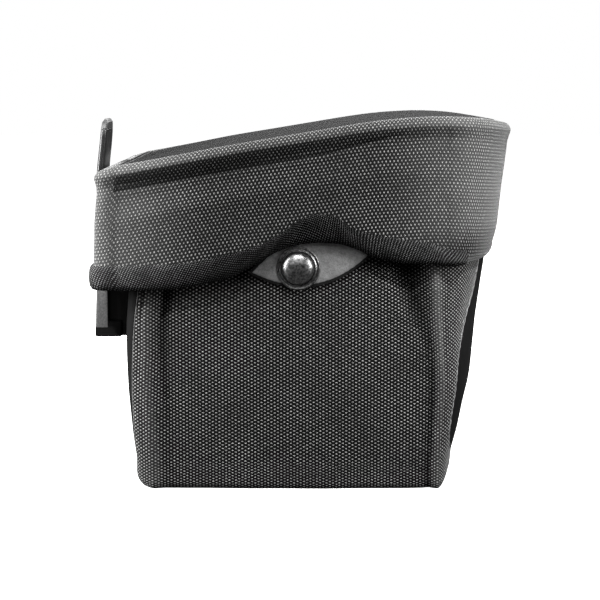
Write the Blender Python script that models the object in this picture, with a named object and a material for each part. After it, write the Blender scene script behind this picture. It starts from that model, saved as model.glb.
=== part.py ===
"""Bicycle handlebar bag with an overhanging lid and a bracket receiver.

+X points to the bag's front, +Z up, and the bag mirrors left to right over Y = 0.
The origin is on the flat floor. All sizes are in metres.

The body and the lid are both worked out from one rounded outline. A station runs
along half of it: 0 is the middle of the back, 1 to 2 the back corner, 2 to 3 the
side, and 3 to 4 the bowed front, whose middle is station 4.
"""

import math
from typing import NamedTuple

import bmesh
import bpy
from mathutils import Vector

# Fabric and fit
WALL = 0.0020              # padded fabric wall of the body and the lid
TOP_WALL = 0.0018          # coated fabric of the lid's top
GAP = 0.0003               # clear space between neighbouring pieces
TOP_SEAM_GAP = 0.0005      # and round the lid's top, where the seam turns tight corners

# Body
BODY_HEIGHT = 0.148        # floor to the top edge, which the lid hides
BODY_REAR = 0.0815         # origin to the back wall where it is fullest
BODY_CREASE = 0.0752       # origin to the front crease of the side
BODY_BOW = 0.035           # crease to the middle of the front, at the top edge
BODY_HALF_WIDTH = 0.103    # middle to the side, where it is widest
BODY_CORNER = 0.0095       # back corner radius
SIDE_DENT = 0.0010         # hollow beside each crease of the side
REAR_FLOOR_RADIUS = 0.0075 # rounding from the back wall to the floor
SIDE_FLOOR_RADIUS = 0.0038
FRONT_FLOOR_RADIUS = 0.012

# Lid, which hangs over the body on all sides
REAR_OVERHANG = 0.0136
SIDE_OVERHANG = 0.0029
CREASE_OVERHANG = 0.0020
BOW_OVERHANG = 0.0046
HEADROOM = 0.0368          # body's top edge to the highest point of the rim
SKIRT_DEPTH = 0.0833       # highest point of the rim to the lowest of the edge
LID_REAR = BODY_REAR + REAR_OVERHANG
LID_HALF_WIDTH = BODY_HALF_WIDTH + SIDE_OVERHANG
LID_CREASE = BODY_CREASE + CREASE_OVERHANG
LID_BOW = BODY_BOW + BOW_OVERHANG
LID_LENGTH = LID_REAR + LID_CREASE + LID_BOW
LID_TOP = BODY_HEIGHT + HEADROOM
LID_CORNER = 0.010         # back corner radius of the skirt
LID_FLARE = 0.027          # slope by which the back and sides lean out, going down
BOW_LEAN = 0.133           # slope by which the front leans in, going down
RIM_DROP = 0.0270          # rise of the rim from the back to its highest point
ROLL_HEIGHT = 0.0080       # padded roll round the rim
ROLL_WIDTH = 0.0080        # skirt's plain outline to the seam of the top panel
GROOVE_DEPTH = 0.0024      # hollow under the roll
FRONT_EASE = 0.75          # share by which that hollow fades toward the front
HEM_LOW = LID_TOP - SKIRT_DEPTH
HEM_ARCH = 0.0235          # rise of the skirt's edge over the snap
LIP_DROP = 0.007           # how far the front's edge turns down and in to the body
LIP_CLEARANCE = 0.0009     # the front's edge to the leaning body
NOTCH_DROP = 0.036         # rim to the top of the notch in the skirt's back

# Hem binding, a folded tape over the skirt's edge
TAPE = 0.0008
TAPE_OUTSIDE = 0.0100      # how far it reaches up outside
TAPE_INSIDE = 0.0060       # and inside
TAPE_ROLL = 0.0005         # extra fullness of its outer face

# Patch and snap on each side, placed under the arch of the skirt's edge
PATCH_WALL = 0.0008
PATCH_LENGTH = 0.0551
PATCH_SAG = 0.0098         # depth of the lower curve
PATCH_RISE = 0.0125        # height of the upper curve, which the lid covers
PATCH_TILT = math.radians(8.7)
PATCH_X = 0.4935 * LID_LENGTH - LID_REAR
PATCH_Z = HEM_LOW + 0.49 * HEM_ARCH
SNAP_X = 0.4655 * LID_LENGTH - LID_REAR
SNAP_Z = HEM_LOW + 0.41 * HEM_ARCH
CAP_RADIUS = 0.0077
CAP_HEIGHT = 0.0054
RING_WIDTH = 0.0023
RING_HEIGHT = 0.0018
RING_BORE = CAP_RADIUS + GAP
RING_RADIUS = RING_BORE + RING_WIDTH

# Receiver behind the body, which slides down over a handlebar bracket
RECEIVER_DEPTH = 0.0202      # from the body to its rear face, at the top
RECEIVER_TAPER = 0.0020      # extra depth at the bottom
RECEIVER_HEIGHT = 0.0533
RECEIVER_PLATE = 0.0055      # thickness of the rear plate
RECEIVER_WALL = 0.0040       # wall against the bag
RECEIVER_ROUNDING = 0.0012
SLOT_HEAD_HALF_WIDTH = 0.0205
SLOT_NECK_HALF_WIDTH = 0.014
SIDE_WALL = 0.0050           # beside the slot's head
RAIL_OVERHANG = 0.0065       # rear plate beyond the side walls
END_STOP = 0.0075            # solid end over the slot
FLANGE_HEIGHT = 0.0085
FLANGE_REACH = 0.0079        # body to the flange's inner edge
NOTCH_CLEARANCE = 0.0012     # binding to the receiver, above it
NOTCH_SIDE_CLEARANCE = 0.0060
CORE_HALF_WIDTH = SLOT_HEAD_HALF_WIDTH + SIDE_WALL
RECEIVER_HALF_WIDTH = CORE_HALF_WIDTH + RAIL_OVERHANG
NOTCH_HALF_WIDTH = RECEIVER_HALF_WIDTH + NOTCH_SIDE_CLEARANCE
WALL_FACE = BODY_REAR + GAP
RECEIVER_BACK = WALL_FACE + RECEIVER_DEPTH

# Release tongue on top of the receiver, and its tip
TONGUE_HALF_WIDTH = 0.017
TONGUE_THICKNESS = 0.0034
TONGUE_CORNER = 0.009
TONGUE_RISE = 0.0233         # tongue over the rim's back
TIP_HEIGHT = 0.0055

RIGHT = -1                 # the side that faces -Y
LEFT = 1


class BodyRow(NamedTuple):
    """One level of the body. Lengths are shares of the body's named sizes."""

    height: float
    rear: float
    crease: float
    bow: float
    half_width: float
    rear_seam: float       # station of the seam between back panel and side
    front_seam: float      # station of the seam between side and front panel


BODY_ROWS = (
    BodyRow(1.000, 0.988, 0.918, 1.000, 0.993, 1.72, 3.56),
    BodyRow(0.878, 0.988, 0.926, 0.970, 0.998, 1.72, 3.56),
    BodyRow(0.764, 0.985, 0.934, 0.935, 1.000, 1.70, 3.56),
    BodyRow(0.662, 0.985, 0.944, 0.840, 0.998, 1.68, 3.52),
    BodyRow(0.554, 0.998, 0.963, 0.720, 0.993, 1.62, 3.39),
    BodyRow(0.446, 1.000, 0.984, 0.620, 0.988, 1.55, 3.29),
    BodyRow(0.338, 0.994, 0.998, 0.540, 0.984, 1.46, 3.24),
    BodyRow(0.243, 0.979, 0.988, 0.470, 0.980, 1.36, 3.22),
    BodyRow(0.169, 0.966, 0.980, 0.420, 0.977, 1.25, 3.23),
    BodyRow(0.128, 0.957, 0.975, 0.380, 0.975, 1.20, 3.33),
    BodyRow(0.095, 0.950, 0.970, 0.345, 0.973, 1.20, 3.45),
)
FLOOR_TURNS = 4            # levels in the rounding down to the floor
REAR_SPREAD = (0.0, 0.35, 0.70, 1.0)


class SideColumn(NamedTuple):
    """One upright line of the body's side, between its creases."""

    along: float
    dent: float            # share of the hollow's full depth


SIDE_COLUMNS = (
    SideColumn(0.000, 0.0),
    SideColumn(0.040, 1.0),
    SideColumn(0.120, 0.7),
    SideColumn(0.300, 0.3),
    SideColumn(0.500, 0.0),
    SideColumn(0.700, 0.3),
    SideColumn(0.880, 0.7),
    SideColumn(0.970, 1.0),
    SideColumn(1.000, 0.0),
)
FRONT_SPREAD = (0.2, 0.4, 0.6, 0.8, 1.0)


class HemPoint(NamedTuple):
    """One place on the skirt's edge, as shares of the lid's length and arch."""

    along: float
    rise: float


HEM_POINTS = (
    HemPoint(0.000, 0.00),
    HemPoint(0.099, 0.00),
    HemPoint(0.178, 0.03),
    HemPoint(0.248, 0.13),
    HemPoint(0.297, 0.24),
    HemPoint(0.342, 0.41),
    HemPoint(0.377, 0.59),
    HemPoint(0.421, 0.81),
    HemPoint(0.456, 0.93),
    HemPoint(0.500, 1.00),
    HemPoint(0.545, 0.99),
    HemPoint(0.585, 0.91),
    HemPoint(0.629, 0.74),
    HemPoint(0.664, 0.65),
    HemPoint(0.709, 0.58),
    HemPoint(0.778, 0.55),
    HemPoint(0.813, 0.51),
    HemPoint(0.837, 0.58),
    HemPoint(0.872, 0.75),
    HemPoint(1.000, 0.77),
)


class RimPoint(NamedTuple):
    """One place on the lid's top line, as shares of its length and drop."""

    along: float
    drop: float


RIM_POINTS = (
    RimPoint(-0.050, 1.020),
    RimPoint(0.099, 0.820),
    RimPoint(0.297, 0.530),
    RimPoint(0.496, 0.265),
    RimPoint(0.644, 0.080),
    RimPoint(0.743, 0.010),
    RimPoint(0.823, 0.000),
    RimPoint(0.912, 0.045),
    RimPoint(1.041, 0.210),
)


class RollRow(NamedTuple):
    """One level of the rim, from the seam of the top panel down."""

    below: float           # share of the roll's height under the rim's top line
    inward: float          # share of the roll's width
    groove: float          # share of the hollow's depth


ROLL_ROWS = (
    RollRow(0.06, 1.00, 0.00),
    RollRow(0.00, 0.60, 0.00),
    RollRow(0.15, 0.18, 0.00),
    RollRow(0.52, -0.04, 0.00),
    RollRow(1.00, 0.00, 0.50),
    RollRow(1.44, 0.00, 1.00),
    RollRow(2.00, 0.00, 0.33),
    RollRow(3.25, 0.00, 0.00),
)


class LipRow(NamedTuple):
    """One level of the front's edge as it turns in, as shares of the turn."""

    down: float
    inward: float


LIP_ROWS = (
    LipRow(0.50, 0.18),
    LipRow(0.95, 0.52),
    LipRow(1.00, 1.00),
)
TOP_RINGS = (0.45, 0.80)   # sizes of the top panel's rings as shares of its edge
TOP_CENTRE_X = 0.010
REAR_COLUMNS = (0.0, NOTCH_HALF_WIDTH / (LID_HALF_WIDTH - LID_CORNER), 0.70, 1.0)
CORNER_COLUMNS = (1.25, 1.5, 1.75, 2.0)
FRONT_COLUMNS = (3.06, 3.16, 3.26, 3.40, 3.52, 3.64, 3.76, 3.88, 4.0)
LIP_START = 3.20           # station where the front's edge starts to turn in
BINDING_END = 3.20         # and where the binding stops



class TongueLevel(NamedTuple):
    """One level of the tongue, as shares of its height and the receiver's back."""

    height: float
    behind: float


TONGUE_LEVELS = (
    TongueLevel(0.00, 0.988),
    TongueLevel(0.25, 0.998),
    TongueLevel(0.44, 1.002),
    TongueLevel(0.60, 0.995),
    TongueLevel(0.78, 0.983),
    TongueLevel(1.00, 0.971),
)


class Finish(NamedTuple):
    """A plain preview material."""

    name: str
    colour: tuple
    roughness: float
    metallic: float = 0.0


WOVEN = Finish("woven_fabric", (0.060, 0.060, 0.059), 0.85)
COATED = Finish("coated_fabric", (0.030, 0.030, 0.031), 0.55)
BINDING = Finish("binding_tape", (0.022, 0.022, 0.022), 0.80)
GREY_PATCH = Finish("grey_patch", (0.170, 0.170, 0.172), 0.70)
SNAP_BLACK = Finish("snap_black", (0.015, 0.015, 0.016), 0.20)
HARD_PLASTIC = Finish("hard_plastic", (0.050, 0.050, 0.052), 0.45)
TIP_PLASTIC = Finish("tip_plastic", (0.080, 0.080, 0.082), 0.50)


class Section(NamedTuple):
    """The rounded outline at one height."""

    height: float
    rear: float
    crease: float
    bow: float
    half_width: float
    corner: float


def clear_scene():
    """Removes whatever the open file holds."""
    for thing in list(bpy.data.objects):
        bpy.data.objects.remove(thing, do_unlink=True)


def make_material(finish):
    """Makes or finds the preview material of a finish."""
    material = bpy.data.materials.get(finish.name)
    if material is None:
        material = bpy.data.materials.new(finish.name)
        material.use_nodes = True
        shader = material.node_tree.nodes["Principled BSDF"]
        shader.inputs["Base Color"].default_value = (*finish.colour, 1.0)
        shader.inputs["Roughness"].default_value = finish.roughness
        shader.inputs["Metallic"].default_value = finish.metallic
    return material


def add_object(name, mesh_data, finish, smooth=False):
    """Turns a bmesh into a named object with a finish."""
    bmesh.ops.recalc_face_normals(mesh_data, faces=mesh_data.faces)
    mesh = bpy.data.meshes.new(name)
    mesh_data.to_mesh(mesh)
    mesh_data.free()
    mesh.materials.append(make_material(finish))
    for polygon in mesh.polygons:
        polygon.use_smooth = smooth
    thing = bpy.data.objects.new(name, mesh)
    bpy.context.scene.collection.objects.link(thing)
    return thing


def curve_value(points, along):
    """Reads a table of (place, value) pairs as a smooth curve."""
    places = [point[0] for point in points]
    values = [point[1] for point in points]
    if along <= places[0]:
        return values[0]
    if along >= places[-1]:
        return values[-1]
    last = len(points) - 1
    index = max(i for i in range(last) if places[i] <= along)

    def slope(i):
        low = max(i - 1, 0)
        high = min(i + 1, last)
        return (values[high] - values[low]) / (places[high] - places[low])

    span = places[index + 1] - places[index]
    t = (along - places[index]) / span
    start = (1 + 2 * t) * (1 - t) ** 2 * values[index]
    start += t * (1 - t) ** 2 * span * slope(index)
    end = t * t * (3 - 2 * t) * values[index + 1]
    end += t * t * (t - 1) * span * slope(index + 1)
    return start + end


def outline(section, station, side, out=0.0):
    """Gives a point on an outline, moved outward by a distance."""
    rear = section.rear + out
    corner = max(section.corner + out, GAP)
    half_width = section.half_width + out
    bow = section.bow + out
    if station <= 1:
        x = -rear
        y = (half_width - corner) * station
    elif station <= 2:
        angle = (station - 1) * math.pi / 2
        x = -rear + corner * (1 - math.cos(angle))
        y = half_width - corner + corner * math.sin(angle)
    elif station <= 3:
        start = -rear + corner
        x = start + (section.crease - start) * (station - 2)
        y = half_width
    else:
        angle = (station - 3) * math.pi / 2
        x = section.crease + bow * math.sin(angle)
        y = half_width * math.cos(angle)
    return Vector((x, side * y, section.height))


def ring_columns(count):
    """Lists (column, side) round a full ring from half its columns.

    It runs from the middle of the back along the right side to the front, and
    back along the left side.
    """
    right = [(column, RIGHT) for column in range(count)]
    left = [(column, LEFT) for column in range(count - 2, 0, -1)]
    return right + left


def ring_normals(rows):
    """Gives the outward direction at every point of rows that run downward."""
    size = len(rows[0])
    normals = []
    for index, row in enumerate(rows):
        above = rows[max(index - 1, 0)]
        below = rows[min(index + 1, len(rows) - 1)]
        level = []
        for place in range(size):
            down = below[place] - above[place]
            along = row[(place + 1) % size] - row[place - 1]
            level.append(down.cross(along).normalized())
        normals.append(level)
    return normals


def sheet_solid(name, points, normals, faces, wall, finish):
    """Thickens a sheet inward into a closed solid.

    Args:
        points: outer point for each key.
        normals: outward direction for each key.
        faces: tuples of keys, counterclockwise seen from outside.
    """
    used = {key for face in faces for key in face}
    solid = bmesh.new()
    outer = {key: solid.verts.new(points[key]) for key in sorted(used)}
    inner = {key: solid.verts.new(points[key] - normals[key] * wall) for key in sorted(used)}
    directed = set()
    for face in faces:
        solid.faces.new([outer[key] for key in face])
        solid.faces.new([inner[key] for key in reversed(face)])
        directed.update(zip(face, face[1:] + face[:1]))
    for start, end in sorted(directed):
        if (end, start) not in directed:
            solid.faces.new((outer[end], outer[start], inner[start], inner[end]))
    return add_object(name, solid, finish)


def grid_faces(size, rows, places):
    """Lists the four-sided faces between rows, for the given places of a ring."""
    faces = []
    for row in rows:
        for place in places:
            after = (place + 1) % size
            faces.append(((row, place), (row + 1, place), (row + 1, after), (row, after)))
    return faces


def keyed(rows):
    """Turns rows of points into one table with (row, place) keys."""
    return {(row, place): point for row, level in enumerate(rows) for place, point in enumerate(level)}


def body_columns(row):
    """Gives the stations of half a body level, with its seams in place."""
    stations = list(REAR_SPREAD)
    stations += [(1 + row.rear_seam) / 2, row.rear_seam, (row.rear_seam + 2) / 2]
    stations += [2 + column.along for column in SIDE_COLUMNS]
    stations += [(3 + row.front_seam) / 2, row.front_seam]
    stations += [row.front_seam + (4 - row.front_seam) * share for share in FRONT_SPREAD]
    return stations


REAR_SEAM_COLUMN = len(REAR_SPREAD) + 1
FIRST_SIDE_COLUMN = REAR_SEAM_COLUMN + 2
FRONT_SEAM_COLUMN = FIRST_SIDE_COLUMN + len(SIDE_COLUMNS) + 1


def body_section(row):
    """Gives the body's outline at one level of its table."""
    return Section(
        height=row.height * BODY_HEIGHT,
        rear=row.rear * BODY_REAR,
        crease=row.crease * BODY_CREASE,
        bow=row.bow * BODY_BOW,
        half_width=row.half_width * BODY_HALF_WIDTH,
        corner=BODY_CORNER,
    )


def floor_radius(station):
    """Gives the rounding down to the floor at a station."""
    if station <= 1:
        return REAR_FLOOR_RADIUS
    if station <= 2:
        share = station - 1
        return REAR_FLOOR_RADIUS + (SIDE_FLOOR_RADIUS - REAR_FLOOR_RADIUS) * share
    if station <= 3:
        return SIDE_FLOOR_RADIUS
    return SIDE_FLOOR_RADIUS + (FRONT_FLOOR_RADIUS - SIDE_FLOOR_RADIUS) * min(1, 2 * (station - 3))


def body_rows():
    """Gives the body's outer points, level by level from the top to the floor."""
    rows = []
    for row in BODY_ROWS:
        section = body_section(row)
        stations = body_columns(row)
        level = []
        for column, side in ring_columns(len(stations)):
            point = outline(section, stations[column], side)
            index = column - FIRST_SIDE_COLUMN
            if 0 <= index < len(SIDE_COLUMNS):
                point.y -= side * SIDE_DENT * SIDE_COLUMNS[index].dent
            level.append(point)
        rows.append(level)
    lowest = body_section(BODY_ROWS[-1])
    stations = body_columns(BODY_ROWS[-1])
    for turn in range(FLOOR_TURNS):
        angle = math.pi / 2 * turn / (FLOOR_TURNS - 1)
        level = []
        for column, side in ring_columns(len(stations)):
            radius = floor_radius(stations[column])
            point = outline(lowest, stations[column], side, -radius * (1 - math.cos(angle)))
            point.z = radius * (1 - math.sin(angle))
            level.append(point)
        rows.append(level)
    return rows


def moved_border(points, key, toward, gap=GAP):
    """Moves a border point by a gap toward a neighbour inside its panel."""
    return points[key] + (points[toward] - points[key]).normalized() * gap


def build_body():
    """Builds the woven shell and the smooth back and front panels."""
    rows = body_rows()
    size = len(rows[0])
    normals = ring_normals(rows)
    normals[-1] = [Vector((0, 0, -1))] * size
    points = keyed(rows)
    directions = keyed(normals)
    window_row = len(BODY_ROWS) - 1
    rear_places = [place % size for place in range(-REAR_SEAM_COLUMN, REAR_SEAM_COLUMN)]
    front_places = list(range(FRONT_SEAM_COLUMN, size - FRONT_SEAM_COLUMN))
    windows = set(rear_places) | set(front_places)

    side_places = [place for place in range(size) if place not in windows]
    faces = grid_faces(size, range(window_row), side_places)
    faces += grid_faces(size, range(window_row, len(rows) - 1), range(size))
    floor_row = len(rows) - 1
    faces.append(tuple((floor_row, place) for place in reversed(range(size))))
    sheet_solid("woven_shell", points, directions, faces, WALL, WOVEN)

    for name, places in (("rear_panel", rear_places), ("front_panel", front_places)):
        panel_points = dict(points)
        first = places[0]
        last = (places[-1] + 1) % size
        for row in range(window_row + 1):
            panel_points[row, first] = moved_border(points, (row, first), (row, places[1]))
            panel_points[row, last] = moved_border(points, (row, last), (row, places[-1]))
        for place in places + [last]:
            lift = (points[window_row - 1, place] - points[window_row, place]).normalized() * GAP
            panel_points[window_row, place] = panel_points[window_row, place] + lift
        panel_faces = grid_faces(size, range(window_row), places)
        sheet_solid(name, panel_points, directions, panel_faces, WALL, COATED)


def body_level(height):
    """Gives the body's table row at any height, between the two nearest."""
    share = height / BODY_HEIGHT
    below = next((row for row in BODY_ROWS if row.height <= share), BODY_ROWS[-1])
    index = max(BODY_ROWS.index(below), 1)
    low, high = BODY_ROWS[index], BODY_ROWS[index - 1]
    blend = (share - low.height) / (high.height - low.height)
    return BodyRow(*(a + (b - a) * blend for a, b in zip(low, high)))


def body_side(x, z, side):
    """Gives a point on the body's flat side, leaving out its shallow dents."""
    return Vector((x, side * body_section(body_level(z)).half_width, z))


def lid_along(x):
    """Turns a place along X into a share of the lid's length."""
    return (x + LID_REAR) / LID_LENGTH


def lid_section(height):
    """Gives the skirt's plain outline at a height."""
    below = LID_TOP - height
    return Section(
        height=height,
        rear=LID_REAR + below * LID_FLARE,
        crease=LID_CREASE,
        bow=LID_BOW - below * BOW_LEAN,
        half_width=LID_HALF_WIDTH + below * LID_FLARE,
        corner=LID_CORNER,
    )


def rim_height(x):
    """Gives the height of the lid's top line."""
    return LID_TOP - RIM_DROP * curve_value(RIM_POINTS, lid_along(x))


def hem_height(x):
    """Gives the height of the skirt's lower edge."""
    return HEM_LOW + HEM_ARCH * curve_value(HEM_POINTS, lid_along(x))


def lid_stations():
    """Gives the stations of half the lid, with one column at each hem point."""
    stations = list(REAR_COLUMNS + CORNER_COLUMNS)
    start = -LID_REAR + LID_CORNER
    for point in HEM_POINTS:
        x = point.along * LID_LENGTH - LID_REAR
        station = 2 + (x - start) / (LID_CREASE - start)
        if 2.02 < station < 2.99:
            stations.append(station)
    stations.append(3.0)
    return stations + list(FRONT_COLUMNS)


def notch_height():
    """Gives the height of the notch's top edge."""
    return rim_height(-LID_REAR) - NOTCH_DROP


SEAM_ROW = len(TOP_RINGS)
NOTCH_ROW = SEAM_ROW + len(ROLL_ROWS)
BAND_ROW = NOTCH_ROW + 1
HEM_ROW = BAND_ROW + 1


def lid_column(station, side):
    """Gives the outer points of one upright line of the lid, from the top down."""
    plan = outline(lid_section(LID_TOP), station, side)
    top = rim_height(plan.x)
    hem = hem_height(plan.x)
    column = []
    seam_drop = ROLL_ROWS[0].below * ROLL_HEIGHT
    seam = outline(lid_section(top), station, side, -ROLL_WIDTH)
    for share in TOP_RINGS:
        x = TOP_CENTRE_X + (seam.x - TOP_CENTRE_X) * share
        column.append(Vector((x, seam.y * share, rim_height(x) - seam_drop)))
    groove = GROOVE_DEPTH * (1 - FRONT_EASE * max(station - 3, 0))
    for row in ROLL_ROWS:
        height = top - row.below * ROLL_HEIGHT
        out = -row.inward * ROLL_WIDTH - row.groove * groove
        column.append(outline(lid_section(height), station, side, out))
    for height in (top - NOTCH_DROP, hem + TAPE_OUTSIDE + GAP, hem):
        column.append(outline(lid_section(height), station, side))
    edge = column[-1]
    if station > LIP_START:
        body = body_section(body_level(hem - LIP_DROP))
        end = outline(body, station, side, LIP_CLEARANCE)
        for row in LIP_ROWS:
            point = edge.lerp(end, row.inward)
            point.z = hem - LIP_DROP * row.down
            column.append(point)
    else:
        for row in LIP_ROWS:
            column.append(outline(lid_section(hem - LIP_DROP * row.down), station, side))
    return column


def build_lid():
    """Builds the skirt, the top panel and the binding of the skirt's edge."""
    stations = lid_stations()
    columns = [lid_column(stations[column], side) for column, side in ring_columns(len(stations))]
    size = len(columns)
    rows = [[column[row] for column in columns] for row in range(len(columns[0]))]
    normals = ring_normals(rows)
    points = keyed(rows)
    directions = keyed(normals)
    notch_places = {0, size - 1}
    lip_first = next(i for i, station in enumerate(stations) if station > LIP_START)
    lip_places = range(lip_first, size - lip_first)

    faces = grid_faces(size, range(SEAM_ROW, NOTCH_ROW), range(size))
    walled = [place for place in range(size) if place not in notch_places]
    faces += grid_faces(size, range(NOTCH_ROW, HEM_ROW), walled)
    faces += grid_faces(size, range(HEM_ROW, HEM_ROW + len(LIP_ROWS)), lip_places)
    sheet_solid("lid_skirt", points, directions, faces, WALL, WOVEN)

    top_points = dict(points)
    for place in range(size):
        key = (SEAM_ROW, place)
        top_points[key] = moved_border(points, key, (SEAM_ROW - 1, place), TOP_SEAM_GAP)
    centre = (-1, 0)
    seam_drop = ROLL_ROWS[0].below * ROLL_HEIGHT
    top_points[centre] = Vector((TOP_CENTRE_X, 0, rim_height(TOP_CENTRE_X) - seam_drop))
    directions[centre] = Vector((0, 0, 1))
    top_faces = grid_faces(size, range(SEAM_ROW), range(size))
    top_faces += [(centre, (0, place), (0, (place + 1) % size)) for place in range(size)]
    sheet_solid("lid_top_panel", top_points, directions, top_faces, TOP_WALL, COATED)
    build_binding(stations, points, directions, size)


def binding_path(stations, size):
    """Lists the keys that the binding follows, each with its ways off the edge.

    A way is the key of the neighbour that lies straight behind the edge. A corner
    of the notch has two. The path runs from the right front to the left front.
    """
    first = max(i for i, station in enumerate(stations) if station < BINDING_END)
    right = [((HEM_ROW, place), [(BAND_ROW, place)]) for place in range(first, 1, -1)]
    right += [
        ((HEM_ROW, 1), [(BAND_ROW, 1), (HEM_ROW, 2)]),
        ((BAND_ROW, 1), [(BAND_ROW, 2)]),
        ((NOTCH_ROW, 1), [(NOTCH_ROW - 1, 1), (NOTCH_ROW, 2)]),
    ]

    def mirrored(key):
        return key[0], (size - key[1]) % size

    left = [(mirrored(key), [mirrored(way) for way in ways]) for key, ways in reversed(right)]
    return right + [((NOTCH_ROW, 0), [(NOTCH_ROW - 1, 0)])] + left


def build_binding(stations, points, directions, size):
    """Folds a tape over the skirt's edge, with mitred corners at the notch."""
    outside = GAP + TAPE
    inside = WALL + GAP + TAPE
    profile = (
        # distance out of the skirt's face, distance beyond its edge
        (outside, -TAPE_OUTSIDE),
        (outside + TAPE_ROLL, -TAPE_OUTSIDE / 2),
        (outside, 0.0),
        (GAP, outside),
        (-WALL - GAP, outside),
        (-inside, 0.0),
        (-inside, -TAPE_INSIDE),
        (-WALL - GAP, -TAPE_INSIDE),
        (-WALL - GAP, GAP),
        (GAP, GAP),
        (GAP, -TAPE_OUTSIDE),
    )
    solid = bmesh.new()
    loops = []
    for key, ways in binding_path(stations, size):
        point = points[key]
        normal = directions[key]
        off_edge = sum(((point - points[way]).normalized() for way in ways), Vector())
        loops.append([solid.verts.new(point + normal * a + off_edge * b) for a, b in profile])
    count = len(profile)
    for start, end in zip(loops, loops[1:]):
        for corner in range(count):
            after = (corner + 1) % count
            solid.faces.new((start[corner], start[after], end[after], end[corner]))
    solid.faces.new(reversed(loops[0]))
    solid.faces.new(loops[-1])
    add_object("lid_hem_binding", solid, BINDING)


def build_patch(name, side):
    """Builds the eye-shaped patch on one side of the body."""
    steps = 12
    lower = []
    upper = []
    for step in range(steps + 1):
        share = step / steps
        along = (share - 0.5) * PATCH_LENGTH
        curve = 4 * share * (1 - share)
        lower.append((along, -PATCH_SAG * curve))
        upper.append((along, PATCH_RISE * curve))
    ring = lower + upper[-2:0:-1]
    points = {}
    normals = {}
    for index, (along, up) in enumerate(ring):
        x = PATCH_X + along * math.cos(PATCH_TILT) - up * math.sin(PATCH_TILT)
        z = PATCH_Z + along * math.sin(PATCH_TILT) + up * math.cos(PATCH_TILT)
        face = body_side(x, z, side)
        points[index] = face + Vector((0, side * (GAP + PATCH_WALL), 0))
        normals[index] = Vector((0, side, 0))
    faces = []
    for step in range(steps):
        low_start, low_end = step, step + 1
        high_start = (len(ring) - step) % len(ring)
        high_end = len(ring) - step - 1
        face = list(dict.fromkeys((low_start, low_end, high_end, high_start)))
        faces.append(tuple(face if side == RIGHT else reversed(face)))
    sheet_solid(name, points, normals, faces, PATCH_WALL, GREY_PATCH)


def turned(name, profile, centre, side, finish, segments=24):
    """Turns a profile of (radius, height) pairs round an axis along Y."""
    solid = bmesh.new()
    rings = []
    for radius, height in profile:
        if radius == 0:
            rings.append([solid.verts.new(centre + Vector((0, side * height, 0)))])
            continue
        ring = []
        for step in range(segments):
            angle = 2 * math.pi * step / segments
            offset = Vector((radius * math.cos(angle), side * height, radius * math.sin(angle)))
            ring.append(solid.verts.new(centre + offset))
        rings.append(ring)
    closed = profile[0][0] != 0
    pairs = list(zip(rings, rings[1:]))
    if closed:
        pairs.append((rings[-1], rings[0]))
    for start, end in pairs:
        for step in range(segments):
            after = (step + 1) % segments
            corners = (start[step % len(start)], start[after % len(start)],
                       end[after % len(end)], end[step % len(end)])
            solid.faces.new(list(dict.fromkeys(corners)))
    add_object(name, solid, finish, smooth=True)


def build_snap(label, side):
    """Builds the flanged ring and the domed cap of one snap."""
    face = body_side(SNAP_X, SNAP_Z, side)
    seat = face + Vector((0, side * (2 * GAP + PATCH_WALL), 0))
    ring = (
        (RING_BORE, 0.0),
        (RING_RADIUS - 0.1 * RING_HEIGHT, 0.0),
        (RING_RADIUS, 0.4 * RING_HEIGHT),
        (RING_RADIUS - 0.3 * RING_HEIGHT, RING_HEIGHT),
        (RING_RADIUS - 0.7 * RING_HEIGHT, 0.55 * RING_HEIGHT),
        (RING_BORE + 0.35 * RING_HEIGHT, 0.9 * RING_HEIGHT),
        (RING_BORE, 0.7 * RING_HEIGHT),
    )
    turned("snap_ring_" + label, ring, seat, side, SNAP_BLACK)
    cap = (
        (0.0, 0.0),
        (CAP_RADIUS, 0.0),
        (CAP_RADIUS, 0.38 * CAP_HEIGHT),
        (0.93 * CAP_RADIUS, 0.62 * CAP_HEIGHT),
        (0.74 * CAP_RADIUS, 0.83 * CAP_HEIGHT),
        (0.42 * CAP_RADIUS, 0.96 * CAP_HEIGHT),
        (0.0, CAP_HEIGHT),
    )
    turned("snap_cap_" + label, cap, seat, side, SNAP_BLACK)


def block(name, low, high, rounding=0.0):
    """Makes a box between two corners, with rounded edges if asked."""
    solid = bmesh.new()
    bmesh.ops.create_cube(solid, size=1.0)
    middle = (Vector(low) + Vector(high)) / 2
    size = Vector(high) - Vector(low)
    bmesh.ops.scale(solid, vec=size, verts=solid.verts)
    bmesh.ops.translate(solid, vec=middle, verts=solid.verts)
    if rounding:
        bmesh.ops.bevel(
            solid, geom=solid.edges[:], offset=rounding, segments=2, profile=0.5, affect="EDGES",
            clamp_overlap=True)
    return add_object(name, solid, HARD_PLASTIC)


def combine(base, tool, operation):
    """Joins or cuts with another solid, and applies the result."""
    modifier = base.modifiers.new(operation.lower(), "BOOLEAN")
    modifier.operation = operation
    modifier.solver = "EXACT"
    modifier.object = tool
    graph = bpy.context.evaluated_depsgraph_get()
    mesh = bpy.data.meshes.new_from_object(base.evaluated_get(graph))
    base.modifiers.clear()
    base.data = mesh
    bpy.data.objects.remove(tool, do_unlink=True)


def receiver_top():
    """Gives the height of the receiver's top, under the binding of the notch."""
    return notch_height() - GAP - TAPE - NOTCH_CLEARANCE


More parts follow.
